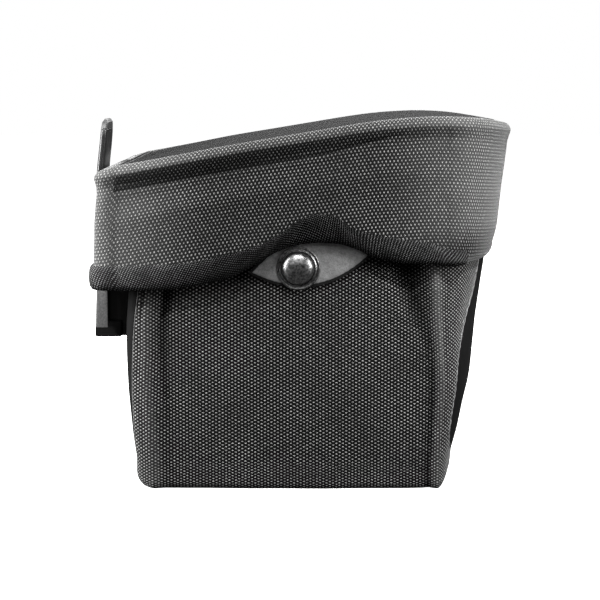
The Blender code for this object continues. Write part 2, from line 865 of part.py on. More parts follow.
def build_receiver():
    """Builds the receiver: a wall, two rails, an end stop and a lower flange."""
    top = receiver_top()
    bottom = top - RECEIVER_HEIGHT
    plate_x = -RECEIVER_BACK + RECEIVER_PLATE
    core = block(
        "mount_receiver",
        (plate_x - GAP, -CORE_HALF_WIDTH, bottom),
        (-WALL_FACE, CORE_HALF_WIDTH, top))
    plate = block(
        "plate",
        (-RECEIVER_BACK, -RECEIVER_HALF_WIDTH, bottom),
        (plate_x, RECEIVER_HALF_WIDTH, top),
        RECEIVER_ROUNDING)
    for vertex in plate.data.vertices:
        if vertex.co.x < plate_x - RECEIVER_PLATE / 2:
            vertex.co.x -= RECEIVER_TAPER * (top - vertex.co.z) / RECEIVER_HEIGHT
    flange = block(
        "flange",
        (plate_x - RECEIVER_PLATE / 2, -RECEIVER_HALF_WIDTH, bottom),
        (-WALL_FACE - FLANGE_REACH, RECEIVER_HALF_WIDTH, bottom + FLANGE_HEIGHT),
        RECEIVER_ROUNDING)
    combine(core, plate, "UNION")
    combine(core, flange, "UNION")
    below = bottom - RECEIVER_PLATE
    behind = -RECEIVER_BACK - RECEIVER_TAPER - RECEIVER_PLATE
    neck = block(
        "neck",
        (behind, -SLOT_NECK_HALF_WIDTH, below),
        (plate_x + GAP, SLOT_NECK_HALF_WIDTH, top - END_STOP))
    head = block(
        "head",
        (plate_x, -SLOT_HEAD_HALF_WIDTH, below),
        (-WALL_FACE - RECEIVER_WALL, SLOT_HEAD_HALF_WIDTH, top - END_STOP))
    combine(core, head, "DIFFERENCE")
    combine(core, neck, "DIFFERENCE")


def tongue_outline(height, top, corner):
    """Gives the tongue's half width at a height, rounded at its top corners."""
    below = top - height
    if below >= corner:
        return TONGUE_HALF_WIDTH
    reach = math.sqrt(max(corner ** 2 - (corner - below) ** 2, 0.0))
    return TONGUE_HALF_WIDTH - corner + reach


def tongue_solid(name, levels, finish):
    """Lofts the tongue through levels of (height, behind, half width)."""
    solid = bmesh.new()
    loops = []
    half = TONGUE_THICKNESS / 2
    edge = half * 0.6
    for height, behind, width in levels:
        corners = (
            (-behind - half, -width + edge), (-behind - half + edge / 2, -width),
            (-behind + half - edge / 2, -width), (-behind + half, -width + edge),
            (-behind + half, width - edge), (-behind + half - edge / 2, width),
            (-behind - half + edge / 2, width), (-behind - half, width - edge),
        )
        loops.append([solid.verts.new((x, y, height)) for x, y in corners])
    for start, end in zip(loops, loops[1:]):
        for corner in range(len(start)):
            after = (corner + 1) % len(start)
            solid.faces.new((start[corner], start[after], end[after], end[corner]))
    solid.faces.new(reversed(loops[0]))
    solid.faces.new(loops[-1])
    add_object(name, solid, finish)


def build_tongue():
    """Builds the release tongue over the receiver, and its tip."""
    bottom = receiver_top() + GAP
    top = rim_height(-LID_REAR) + TONGUE_RISE
    span = top - bottom
    split = top - TIP_HEIGHT

    def level(height):
        behind = RECEIVER_BACK * curve_value(TONGUE_LEVELS, (height - bottom) / span)
        return height, behind, tongue_outline(height, top, TONGUE_CORNER)

    heights = [bottom + span * row.height for row in TONGUE_LEVELS]
    heights = [height for height in heights if height < top - TONGUE_CORNER]
    heights += [top - TONGUE_CORNER, split - GAP]
    tongue_solid("release_tongue", [level(height) for height in heights], HARD_PLASTIC)
    tips = [split, top - 0.6 * TIP_HEIGHT, top - 0.25 * TIP_HEIGHT, top - GAP]
    tongue_solid("tongue_tip", [level(height) for height in tips], TIP_PLASTIC)


def main():
    """Builds every piece of the bag."""
    clear_scene()
    build_body()
    build_lid()
    for label, side in (("right", RIGHT), ("left", LEFT)):
        build_patch("snap_patch_" + label, side)
        build_snap(label, side)
    build_receiver()
    build_tongue()


main()
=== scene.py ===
"""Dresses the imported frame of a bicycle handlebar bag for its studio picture.

+X points to the bag's front and +Z up, and the bag mirrors left to right over Y = 0.
Every length is in metres. The outline that the body and the lid share is walked by
stations: 0 is the middle of the back, 1 to 2 the back corner, 2 to 3 the side and
3 to 4 the bowed front.
"""

import logging
import math
from dataclasses import dataclass, field
from enum import Enum
from typing import Callable, Iterable, Sequence

import bmesh
import bpy
from mathutils import Matrix, Vector, noise


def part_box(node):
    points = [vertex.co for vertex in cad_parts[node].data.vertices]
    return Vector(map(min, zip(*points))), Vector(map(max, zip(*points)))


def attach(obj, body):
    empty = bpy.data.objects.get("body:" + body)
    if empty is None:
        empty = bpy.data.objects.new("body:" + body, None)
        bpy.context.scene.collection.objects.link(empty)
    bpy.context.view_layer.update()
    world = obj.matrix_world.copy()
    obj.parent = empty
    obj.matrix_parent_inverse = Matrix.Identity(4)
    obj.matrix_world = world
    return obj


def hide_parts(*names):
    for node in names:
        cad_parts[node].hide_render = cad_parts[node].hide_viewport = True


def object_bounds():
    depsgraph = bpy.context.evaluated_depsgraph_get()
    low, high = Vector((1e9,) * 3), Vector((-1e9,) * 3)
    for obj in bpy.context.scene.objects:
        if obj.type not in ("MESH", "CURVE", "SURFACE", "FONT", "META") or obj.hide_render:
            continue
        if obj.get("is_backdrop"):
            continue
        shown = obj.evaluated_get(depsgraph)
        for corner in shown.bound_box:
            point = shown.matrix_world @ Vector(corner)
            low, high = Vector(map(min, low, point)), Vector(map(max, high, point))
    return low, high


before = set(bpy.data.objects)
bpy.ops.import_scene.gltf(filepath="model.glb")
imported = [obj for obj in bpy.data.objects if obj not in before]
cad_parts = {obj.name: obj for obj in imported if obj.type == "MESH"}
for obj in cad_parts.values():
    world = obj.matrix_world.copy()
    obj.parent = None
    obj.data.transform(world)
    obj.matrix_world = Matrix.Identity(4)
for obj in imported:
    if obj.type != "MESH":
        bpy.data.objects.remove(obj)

CAD_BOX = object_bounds()
ROOT = "root"
CLOTH_MAP = "cloth"
# the second map: paler cloth from rubbing and painted highlight, and painted shade
WEAR_AND_LIGHT_MAP = "wear"
LOG = logging.getLogger("handlebar_bag")

Point = tuple[float, float]


class Side(Enum):
    """The bag's two sides, with the sign that their Y takes."""

    RIGHT = -1
    LEFT = 1

    @property
    def label(self) -> str:
        """Gives the side's name in lower case."""
        return self.name.lower()


# Shader maths


class Wire:
    """A shader value that can be added to, multiplied and compared in Python."""

    def __init__(self, shop: "NodeShop", socket: bpy.types.NodeSocket) -> None:
        """Keeps the socket and the node shop that it belongs to."""
        self.shop = shop
        self.socket = socket

    def maths(self, operation: str, *others: "Wire | float") -> "Wire":
        """Adds a Math node that starts from this value."""
        return self.shop.maths(operation, self, *others)

    def __add__(self, other: "Wire | float") -> "Wire":
        """Adds."""
        return self.maths("ADD", other)

    __radd__ = __add__

    def __sub__(self, other: "Wire | float") -> "Wire":
        """Takes away."""
        return self.maths("SUBTRACT", other)

    def __rsub__(self, other: "Wire | float") -> "Wire":
        """Takes this value from another."""
        return self.shop.maths("SUBTRACT", other, self)

    def __mul__(self, other: "Wire | float") -> "Wire":
        """Multiplies."""
        return self.maths("MULTIPLY", other)

    __rmul__ = __mul__

    def __truediv__(self, other: "Wire | float") -> "Wire":
        """Divides."""
        return self.maths("DIVIDE", other)

    def __pow__(self, other: "Wire | float") -> "Wire":
        """Raises to a power."""
        return self.maths("POWER", other)

    def ramp(self, low: float, high: float, out_low: float = 0.0, out_high: float = 1.0) -> "Wire":
        """Maps a range onto another with soft ends.

        Args:
            low: value that gives out_low.
            high: value that gives out_high.
            out_low: result at and below low.
            out_high: result at and above high.

        Returns:
            The mapped value.
        """
        node = self.shop.add(
            "ShaderNodeMapRange",
            {"interpolation_type": "SMOOTHSTEP"},
            {"Value": self, "From Min": low, "From Max": high, "To Min": out_low, "To Max": out_high},
        )
        return self.shop.wire(node, "Result")


class NodeShop:
    """Makes the nodes of one material."""

    def __init__(self, name: str) -> None:
        """Starts an empty material of that name."""
        self.material = bpy.data.materials.new(name)
        self.material.use_nodes = True
        self.tree = self.material.node_tree
        self.tree.nodes.clear()

    def add(self, kind: str, settings: dict | None = None, values: dict | None = None) -> bpy.types.Node:
        """Makes any node.

        Args:
            kind: the node's type.
            settings: its own settings, set first. "stops" fills a colour ramp.
            values: a constant or a Wire for each input, by name or index.

        Returns:
            The node.
        """
        node = self.tree.nodes.new(kind)
        for name, value in (settings or {}).items():
            setattr(node, name, value)
        for name, value in (values or {}).items():
            if isinstance(value, Wire):
                self.tree.links.new(value.socket, node.inputs[name])
            else:
                node.inputs[name].default_value = value
        return node

    def wire(self, node: bpy.types.Node, output: str | int = 0) -> Wire:
        """Wraps one output of a node."""
        return Wire(self, node.outputs[output])

    def maths(self, operation: str, *values: "Wire | float") -> Wire:
        """Makes a Math node on up to three values."""
        return self.wire(self.add("ShaderNodeMath", {"operation": operation}, dict(enumerate(values))))

    def cloth_uv(self) -> Wire:
        """Gives the piece's own cloth map, in metres along the cloth."""
        return self.wire(self.add("ShaderNodeUVMap", {"uv_map": CLOTH_MAP}), "UV")

    def wear(self) -> tuple[Wire, Wire]:
        """Gives how much paler the cloth is from rubbing and painted highlight, and how much painted shade darkens it,
        each from 0 to 1.
        """
        place = self.wire(self.add("ShaderNodeUVMap", {"uv_map": WEAR_AND_LIGHT_MAP}), "UV")
        rubbed_and_lit, painted_shade, _ = self.split(place)
        return rubbed_and_lit, painted_shade

    def object_place(self) -> Wire:
        """Gives the place on the piece, in metres."""
        return self.wire(self.add("ShaderNodeTexCoord"), "Object")

    def noise(self, place: Wire, scale: float, detail: float = 2.0, roughness: float = 0.5) -> Wire:
        """Gives soft noise from 0 to 1.

        Args:
            place: where to read it.
            scale: cells per metre.
            detail: octaves.
            roughness: how strong the fine octaves are.

        Returns:
            The noise value.
        """
        values = {"Vector": place, "Scale": scale, "Detail": detail, "Roughness": roughness}
        return self.wire(self.add("ShaderNodeTexNoise", {}, values), "Fac")

    def split(self, place: Wire) -> tuple[Wire, Wire, Wire]:
        """Splits a vector into its parts."""
        node = self.add("ShaderNodeSeparateXYZ", {}, {"Vector": place})
        return self.wire(node, 0), self.wire(node, 1), self.wire(node, 2)

    def join(self, x: "Wire | float", y: "Wire | float", z: "Wire | float" = 0.0) -> Wire:
        """Joins three numbers into a vector."""
        return self.wire(self.add("ShaderNodeCombineXYZ", {}, {"X": x, "Y": y, "Z": z}))

    def grain(self, place: Wire) -> Wire:
        """Gives one random value for each whole cell of a place."""
        return self.wire(self.add("ShaderNodeTexWhiteNoise", {"noise_dimensions": "2D"}, {"Vector": place}), "Value")

    def blend(self, share: Wire, low: Sequence[float], high: Sequence[float]) -> Wire:
        """Mixes two colours by a share."""
        node = self.add("ShaderNodeMix", {"data_type": "RGBA"}, {"Factor": share})
        node.inputs[6].default_value = (*low, 1.0)
        node.inputs[7].default_value = (*high, 1.0)
        return self.wire(node, 2)

    def mix(self, share: Wire, low: Wire, high: "Wire | Sequence[float]") -> Wire:
        """Mixes two colours that vary themselves."""
        node = self.add("ShaderNodeMix", {"data_type": "RGBA"}, {"Factor": share, 6: low, 7: high})
        return self.wire(node, 2)

    def bump(self, height: Wire, distance: float, strength: float = 1.0) -> Wire:
        """Turns a height from 0 to 1 into a normal."""
        values = {"Height": height, "Distance": distance, "Strength": strength}
        return self.wire(self.add("ShaderNodeBump", {}, values), "Normal")

    def finish(self, values: dict) -> bpy.types.Material:
        """Closes the material with a Principled shader of these inputs."""
        shader = self.add("ShaderNodeBsdfPrincipled", {}, values)
        output = self.add("ShaderNodeOutputMaterial")
        self.tree.links.new(shader.outputs[0], output.inputs["Surface"])
        return self.material


# Finishes


@dataclass(frozen=True)
class WovenCloth:
    """A coarse plain weave whose raised threads show as staggered light dots."""

    name: str
    pitch_along: float
    pitch_up: float
    pinch_along: float = 0.0
    pinch_up: float = 0.0
    dark: Point = (0.0026, 0.0026)
    light: float = 0.200
    # colour of cloth made paler by rubbing and by painted highlight
    rubbed_and_lit: float = 0.095
    relief: float = 0.00030
    wander: float = 0.00030
    roughness: float = 0.72
    sheen: float = 0.22

    def material(self) -> bpy.types.Material:
        """Makes the material."""
        shop = NodeShop(self.name)
        place = shop.cloth_uv()
        across, up, _ = shop.split(place)
        drift = shop.noise(place, 55.0, 2.0) - 0.5
        across = (across + drift * self.wander) / self.pitch_along
        up = (up + (shop.noise(place, 80.0, 1.0) - 0.5) * self.wander) / self.pitch_up
        warp = (across * math.pi).maths("COSINE")
        weft = (up * math.pi).maths("COSINE")
        wave = warp * weft
        # the pinch rounds the dots of a cell that is longer one way
        pinch = warp.maths("ABSOLUTE") ** self.pinch_along * weft.maths("ABSOLUTE") ** self.pinch_up
        dot = wave.maths("MAXIMUM", 0.0) * pinch
        knot = dot.ramp(0.02, 0.88)
        # one shade for each dot, from the cell that it sits in
        cell = shop.join((across + 0.5).maths("FLOOR"), (up + 0.5).maths("FLOOR"))
        shade = shop.grain(cell).ramp(0.0, 1.0, 0.74, 1.18)
        fibre = shop.noise(shop.join(across, up), 2.6, 2.0, 0.6)
        patchy = shop.noise(place, 38.0, 3.0).ramp(0.3, 0.7, 0.86, 1.12)
        share = knot * shade * patchy * (0.84 + fibre * 0.32)
        low = (self.dark[0], self.dark[0], self.dark[1])
        colour = shop.blend(share.maths("MINIMUM", 1.6), low, (self.light, self.light * 0.995, self.light * 0.975))
        colour.socket.node.clamp_factor = False
        # paler cloth from rubbing and painted highlight, and painted shade in folds, grooves and under the lid's edge
        wear_and_light, painted_shade = shop.wear()
        wear_and_light = wear_and_light * (0.55 + patchy * 0.45)
        # the paler colours, for rubbing and painted highlight
        rubbed_and_lit = shop.blend(share, (self.rubbed_and_lit * 0.38,) * 3, (self.rubbed_and_lit * 1.75, self.rubbed_and_lit * 1.75, self.rubbed_and_lit * 1.69))
        colour = shop.mix(wear_and_light.maths("MINIMUM", 1.0), colour, rubbed_and_lit)
        # painted shade darkens the cloth toward half its dark colour
        colour = shop.mix(painted_shade, colour, (self.dark[0] * 0.5,) * 3 + (1.0,))
        height = knot * (0.8 + fibre * 0.35) + wave.maths("ABSOLUTE") * 0.12
        return shop.finish({
            "Base Color": colour,
            "Roughness": knot * -0.16 + (self.roughness + 0.12),
            "Sheen Weight": self.sheen,
            "Sheen Roughness": 0.30,
            "Specular IOR Level": 0.03,
            "Normal": shop.bump(height, self.relief, 0.9),
        })


@dataclass(frozen=True)
class CoatedCloth:
    """A smooth coated fabric with a very fine grain and faint scuffs."""

    name: str
    dark: float = 0.011
    light: float = 0.021
    roughness: float = 0.62

    def material(self) -> bpy.types.Material:
        """Makes the material."""
        shop = NodeShop(self.name)
        place = shop.object_place()
        fine = shop.noise(place, 2600.0, 2.0, 0.6)
        cloudy = shop.noise(place, 45.0, 4.0, 0.55)
        scuff = shop.noise(place, 260.0, 3.0, 0.7).ramp(0.55, 0.75)
        share = cloudy.ramp(0.3, 0.7) * 0.6 + fine * 0.25 + scuff * 0.15
        colour = shop.blend(share, (self.dark,) * 3, (self.light, self.light, self.light * 1.02))
        return shop.finish({
            "Base Color": colour,
            "Roughness": self.roughness - 0.08 + fine * 0.12 + cloudy * 0.08,
            "Specular IOR Level": 0.06,
            "Normal": shop.bump(fine * 0.6 + cloudy * 0.8, 0.00012, 0.5),
        })


@dataclass(frozen=True)
class TapeCloth:
    """A fine black weave laid on the bias, as binding tape."""

    name: str
    pitch: float = 0.00088
    dark: float = 0.0003
    light: float = 0.050
    # colour of tape made paler by rubbing and by painted highlight
    rubbed_and_lit: float = 0.075

    def material(self) -> bpy.types.Material:
        """Makes the material."""
        shop = NodeShop(self.name)
        place = shop.cloth_uv()
        across, up, _ = shop.split(place)
        drift = (shop.noise(place, 90.0, 2.0) - 0.5) * 0.0006
        warp = (across + up * 0.55 + drift) * (math.pi / self.pitch)
        weft = (up - across * 0.30 + drift) * (math.pi / self.pitch)
        knot = (warp.maths("COSINE") * weft.maths("COSINE")).maths("MAXIMUM", 0.0).ramp(0.25, 0.95)
        patchy = shop.noise(place, 120.0, 3.0).ramp(0.3, 0.7, 0.55, 1.25)
        fibre = shop.noise(place, 1900.0, 2.0, 0.6)
        share = knot * patchy * (0.7 + fibre * 0.6)
        colour = shop.blend(share, (self.dark,) * 3, (self.light,) * 3)
        # the paler colours, for rubbing and painted highlight
        rubbed_and_lit = shop.blend(share, (self.rubbed_and_lit * 0.14,) * 3, (self.rubbed_and_lit * 2.6,) * 3)
        return shop.finish({
            "Base Color": shop.mix(shop.wear()[0], colour, rubbed_and_lit),
            "Roughness": 0.84 - knot * 0.12,
            "Specular IOR Level": 0.01,
            "Normal": shop.bump(knot + fibre * 0.3, 0.00018, 1.0),
        })


@dataclass(frozen=True)
class FeltPatch:
    """A matt grey face, mottled like brushed microfibre."""

    name: str
    dark: float = 0.072
    light: float = 0.172
    shadow_band: float = 0.0015

    def material(self) -> bpy.types.Material:
        """Makes the material, with a black band along its edge that is painted shadow."""
        shop = NodeShop(self.name)
        place = shop.object_place()
        _, inward, _ = shop.split(shop.cloth_uv())
        mottle = shop.noise(place, 420.0, 4.0, 0.62)
        nap = shop.noise(place, 1700.0, 3.0, 0.7)
        grey = shop.blend(mottle.ramp(0.28, 0.72) * 0.4 + nap.ramp(0.25, 0.75) * 0.6,
                          (self.dark,) * 3, (self.light,) * 3)
        # a black band along the edge: painted shadow round the raised patch
        inside = (inward + (mottle - 0.5) * 0.0006).ramp(self.shadow_band - 0.0002, self.shadow_band + 0.0003)
        with_shadow_band = shop.add("ShaderNodeMix", {"data_type": "RGBA"}, {"Factor": inside})
        with_shadow_band.inputs[6].default_value = (0.0015, 0.0015, 0.0015, 1.0)
        shop.tree.links.new(grey.socket, with_shadow_band.inputs[7])
        return shop.finish({
            "Base Color": shop.wire(with_shadow_band, 2),
            "Roughness": 0.80 + nap * 0.12,
            "Sheen Weight": 0.05,
            "Specular IOR Level": 0.15,
            "Normal": shop.bump(mottle + nap * 0.5, 0.00016, 0.7),
        })


@dataclass(frozen=True)
class Lacquer:
    """Glossy black lacquer on metal, a little scuffed on its crown."""

    name: str
    dark: float = 0.034
    light: float = 0.190
    roughness: float = 0.34

    def material(self) -> bpy.types.Material:
        """Makes the material."""
        shop = NodeShop(self.name)
        place = shop.object_place()
        rub = shop.noise(place, 900.0, 4.0, 0.65)
        haze = shop.noise(place, 190.0, 3.0, 0.6)
        colour = shop.blend(rub.ramp(0.30, 0.72), (self.dark,) * 3, (self.light,) * 3)
        return shop.finish({
            "Base Color": colour,
            "Roughness": self.roughness + (rub - 0.5) * 0.20 + (haze - 0.5) * 0.14,
            "Metallic": 1.0,
            "Coat Weight": 0.25,
            "Coat Roughness": 0.22,
            "Normal": shop.bump(rub * 0.5 + haze, 0.00006, 0.6),
        })


@dataclass(frozen=True)
class MouldedPlastic:
    """Black moulded plastic with a fine eroded texture."""

    name: str
    dark: float
    light: float
    roughness: float = 0.45
    texture: float = 1500.0

    def material(self) -> bpy.types.Material:
        """Makes the material."""
        shop = NodeShop(self.name)
        place = shop.object_place()
        pits = shop.noise(place, self.texture, 3.0, 0.65)
        cloudy = shop.noise(place, 60.0, 2.0)
        colour = shop.blend(pits.ramp(0.35, 0.7) * 0.7 + cloudy * 0.3, (self.dark,) * 3, (self.light,) * 3)
        return shop.finish({
            "Base Color": colour,
            "Roughness": self.roughness + (pits - 0.5) * 0.22,
            "Normal": shop.bump(pits, 0.00008, 0.7),
        })


@dataclass(frozen=True)
class ReceiverPlastic:
    """Moulded plastic, eroded grey on the rear plate and black and smooth inside and below, a black that is partly the
    plastic's own and partly painted shade in its recess.
    """

    name: str
    plate_x: float = -0.0972

    def material(self) -> bpy.types.Material:
        """Makes the material."""
        shop = NodeShop(self.name)
        place = shop.object_place()
        along, _, up = shop.split(place)
        pits = shop.noise(place, 1300.0, 3.0, 0.65)
        outside = (along * -1.0).ramp(-self.plate_x - 0.0002, -self.plate_x + 0.0002)
        outside = outside * up.ramp(0.0722, 0.0730)
        grey = shop.blend(pits.ramp(0.35, 0.7), (0.022,) * 3, (0.062,) * 3)
        mixed = shop.add("ShaderNodeMix", {"data_type": "RGBA"}, {"Factor": outside})
        # black inside and below: partly the plastic's own, partly painted shade in the recess
        mixed.inputs[6].default_value = (0.0008, 0.0008, 0.0008, 1.0)
        shop.tree.links.new(grey.socket, mixed.inputs[7])
        return shop.finish({
            "Base Color": shop.wire(mixed, 2),
            "Roughness": outside * 0.38 + 0.12 + pits * 0.12,
            "Specular IOR Level": 0.55,
            "Normal": shop.bump(pits * outside, 0.00010, 0.8),
        })


@dataclass(frozen=True)
class Thread:
    """Twisted sewing thread."""

    name: str
    dark: float
    light: float

    def material(self) -> bpy.types.Material:
        """Makes the material."""
        shop = NodeShop(self.name)
        place = shop.object_place()
        twist = shop.noise(place, 3800.0, 2.0, 0.5)
        patchy = shop.noise(place, 420.0, 2.0).ramp(0.35, 0.65)
        colour = shop.blend(twist * 0.5 + patchy * 0.5, (self.dark,) * 3, (self.light,) * 3)
        return shop.finish({
            "Base Color": colour,
            "Roughness": 0.62 + twist * 0.2,
            "Normal": shop.bump(twist, 0.00008, 0.8),
        })


@dataclass(frozen=True)
class PalePaper:
    """The plain pale studio floor."""

    name: str = "studio_floor"

    def material(self) -> bpy.types.Material:
        """Makes the material."""
        shop = NodeShop(self.name)
        fine = shop.noise(shop.object_place(), 40.0, 2.0)
        seen = shop.wire(shop.add("ShaderNodeLightPath"), "Is Camera Ray")
        colour = shop.blend(seen, (0.05, 0.05, 0.05), (0.90, 0.90, 0.90))
        return shop.finish({
            "Base Color": colour,
            "Roughness": fine * 0.05 + 0.9,
            "Specular IOR Level": 0.0,
            "Emission Color": shop.blend(seen, (0.0, 0.0, 0.0), (0.97, 0.97, 0.97)),
            "Emission Strength": 1.0,
        })


class Finish(Enum):
    """Every finish of the bag."""

    BODY = WovenCloth("body_weave", 0.00161, 0.00090, pinch_along=0.9)
    LID = WovenCloth("lid_weave", 0.00095, 0.00166, pinch_up=0.7, dark=(0.0040, 0.0040), light=0.140)
    COATED = CoatedCloth("coated_fabric_smooth", 0.0014, 0.0036, 0.70)
    LID_TOP = CoatedCloth("lid_top_fabric", 0.0026, 0.0058, 0.80)
    TAPE = TapeCloth("binding_weave")
    PATCH = FeltPatch("patch_felt")
    SNAP = Lacquer("snap_lacquer")
    RECEIVER = ReceiverPlastic("receiver_plastic")
    TONGUE = MouldedPlastic("tongue_plastic", 0.008, 0.018, 0.34, 2100.0)
    TIP = MouldedPlastic("tip_plastic_satin", 0.022, 0.045, 0.44, 2300.0)
    STITCH = Thread("stitch_thread", 0.014, 0.070)
    RAW_EDGE = Thread("raw_edge_thread", 0.030, 0.170)

    def made(self) -> bpy.types.Material:
        """Gives the finish's material, made once."""
        return bpy.data.materials.get(self.value.name) or self.value.material()


# Shapes shared by the pieces


@dataclass(frozen=True)
class Curve:
    """A smooth line through a table of places and values."""

    places: tuple[float, ...]
    values: tuple[float, ...]

    def at(self, place: float) -> float:
        """Reads the curve.

        Args:
            place: where to read it.

        Returns:
            The value, held level beyond the table's ends.
        """
        places, values = self.places, self.values
        if place <= places[0]:
            return values[0]
        if place >= places[-1]:
            return values[-1]
        last = len(places) - 1
        index = max(i for i in range(last) if places[i] <= place)
        slopes = []
        for i in (index, index + 1):
            low, high = max(i - 1, 0), min(i + 1, last)
            slopes.append((values[high] - values[low]) / (places[high] - places[low]))
        span = places[index + 1] - places[index]
        t = (place - places[index]) / span
        start = (1 + 2 * t) * (1 - t) ** 2 * values[index] + t * (1 - t) ** 2 * span * slopes[0]
        return start + t * t * (3 - 2 * t) * values[index + 1] + t * t * (t - 1) * span * slopes[1]


def hump(distance: float, reach: float) -> float:
    """Gives a soft bump: 1 at no distance, fading over its reach."""
    return math.exp(-((distance / reach) ** 2))


@dataclass(frozen=True)
class Outline:
    """The rounded outline at one height."""

    height: float
    rear: float
    crease: float
    bow: float
    half_width: float
    corner: float

    def point(self, station: float, side: int, out: float = 0.0) -> Vector:
        """Gives a point on the outline.

        Args:
            station: how far along half the outline, from 0 to 4.
            side: the sign of Y.
            out: distance outward.

        Returns:
            The point.
        """
        rear, bow = self.rear + out, self.bow + out
        corner = max(self.corner + out, 0.0003)
        half_width = self.half_width + out
        if station <= 1:
            x, y = -rear, (half_width - corner) * station
        elif station <= 2:
            angle = (station - 1) * math.pi / 2
            x = -rear + corner * (1 - math.cos(angle))
            y = half_width - corner + corner * math.sin(angle)
        elif station <= 3:
            start = -rear + corner
            x, y = start + (self.crease - start) * (station - 2), half_width
        else:
            angle = (station - 3) * math.pi / 2
            x, y = self.crease + bow * math.sin(angle), half_width * math.cos(angle)
        return Vector((x, side * y, self.height))


def spread(knots: Sequence[Point]) -> list[float]:
    """Lists places from knots of (place, steps up to the next knot)."""
    places = []
    for (start, steps), (end, _) in zip(knots, knots[1:]):
        places += [start + (end - start) * step / steps for step in range(int(steps))]
    return places + [knots[-1][0]]


def mapped_sheet(
    columns: int,
    rows: int,
    place: Callable[[int, int], tuple[Vector, Point]],
    closed: bool = False,
    wear: Callable[[int, int], Point] | None = None,
) -> bmesh.types.BMesh:
    """Shapes a plane grid into a cloth surface with a cloth map.

    Args:
        columns: steps across the grid.
        rows: steps up the grid.
        place: gives the point and its cloth map place for a column and a row.
        closed: True if the last column meets the first.
        wear: gives how much paler a woven piece is from rubbing and painted highlight, and how much painted shade
            darkens it, each from 0 to 1.

    Returns:
        The sheet, whose faces look outward if columns run to the right and rows up.
    """
    sheet = bmesh.new()
    bmesh.ops.create_grid(sheet, x_segments=columns, y_segments=rows, size=0.5)
    layer = sheet.loops.layers.uv.new(CLOTH_MAP)
    wear_and_light_layer = sheet.loops.layers.uv.new(WEAR_AND_LIGHT_MAP) if wear else None
    found, wear_and_light = {}, {}
    for vertex in sheet.verts:
        column = round((vertex.co.x + 0.5) * columns)
        row = round((vertex.co.y + 0.5) * rows)
        found[vertex] = place(column, row)
        wear_and_light[vertex] = wear(column, row) if wear else (0.0, 0.0)
    for face in sheet.faces:
        for loop in face.loops:
            loop[layer].uv = found[loop.vert][1]
            if wear_and_light_layer:
                loop[wear_and_light_layer].uv = wear_and_light[loop.vert]
    for vertex, (point, _) in found.items():
        vertex.co = point
    if closed:
        bmesh.ops.remove_doubles(sheet, verts=sheet.verts, dist=1e-6)
    return sheet


def drop_faces(sheet: bmesh.types.BMesh, columns: int, unwanted: Callable[[int, int], bool]) -> None:
    """Deletes the unwanted faces of a grid that isn't merged yet.

    Args:
        sheet: the grid.
        columns: faces in each row.
        unwanted: says if the face of a column and a row goes.
    """
    faces = [face for index, face in enumerate(sheet.faces) if unwanted(index % columns, index // columns)]
    bmesh.ops.delete(sheet, geom=faces, context="FACES")


@dataclass
class Piece:
    """One finished piece of the bag, from its mesh to its place in the frame."""

    name: str
    mesh: bmesh.types.BMesh
    finish: Finish
    slot: str
    nodes: tuple[str, ...] = ()
    wall: float = 0.0
    rounding: float = 0.0
    levels: int = 0
    fill: float = -1.0

    def place(self) -> bpy.types.Object:
        """Turns the mesh into an object with its finish, riding on the bag."""
        data = bpy.data.meshes.new(self.name)
        self.mesh.to_mesh(data)
        self.mesh.free()
        for polygon in data.polygons:
            polygon.use_smooth = True
        data.materials.append(self.finish.made())
        piece = bpy.data.objects.new(self.name, data)
        bpy.context.scene.collection.objects.link(piece)
        if self.wall:
            solid = piece.modifiers.new("wall", "SOLIDIFY")
            solid.thickness = self.wall
            solid.offset = -1.0
            solid.use_even_offset = True
        if self.rounding:
            bevel = piece.modifiers.new("rounding", "BEVEL")
            bevel.width = self.rounding
            bevel.segments = 3
            bevel.limit_method = "ANGLE"
            bevel.angle_limit = math.radians(35)
            bevel.harden_normals = False
        if self.levels:
            smooth = piece.modifiers.new("smooth", "SUBSURF")
            smooth.levels = self.levels
            smooth.render_levels = self.levels
        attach(piece, ROOT)
        if self.nodes:
            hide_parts(*self.nodes)
        self.fill >= 0
        LOG.info("%s: %d faces in its base mesh", self.name, len(data.polygons))
        return piece


def tube(points: Sequence[Vector], radius: Callable[[float], float], sides: int = 8) -> bmesh.types.BMesh:
    """Sweeps a small circle along a line and closes its ends.

    Args:
        points: the middle of the line.
        radius: radius at a share of the length.
        sides: faces round the tube.

    Returns:
        The closed tube.
    """
    last = len(points) - 1
    frames = []
    for index, point in enumerate(points):
        ahead = (points[min(index + 1, last)] - points[max(index - 1, 0)]).normalized()
        across = ahead.cross(Vector((0.31, 0.87, 0.38))).normalized()
        frames.append((point, across, ahead.cross(across)))

    def place(column: int, row: int) -> tuple[Vector, Point]:
        point, across, up = frames[row]
        angle = 2 * math.pi * column / sides
        reach = radius(row / last)
        spot = point + (across * math.cos(angle) + up * math.sin(angle)) * reach
        return spot, (reach * angle, row / last)

    body = mapped_sheet(sides, last, place, closed=True)
    bmesh.ops.holes_fill(body, edges=body.edges, sides=sides)
    bmesh.ops.recalc_face_normals(body, faces=body.faces)
    return body


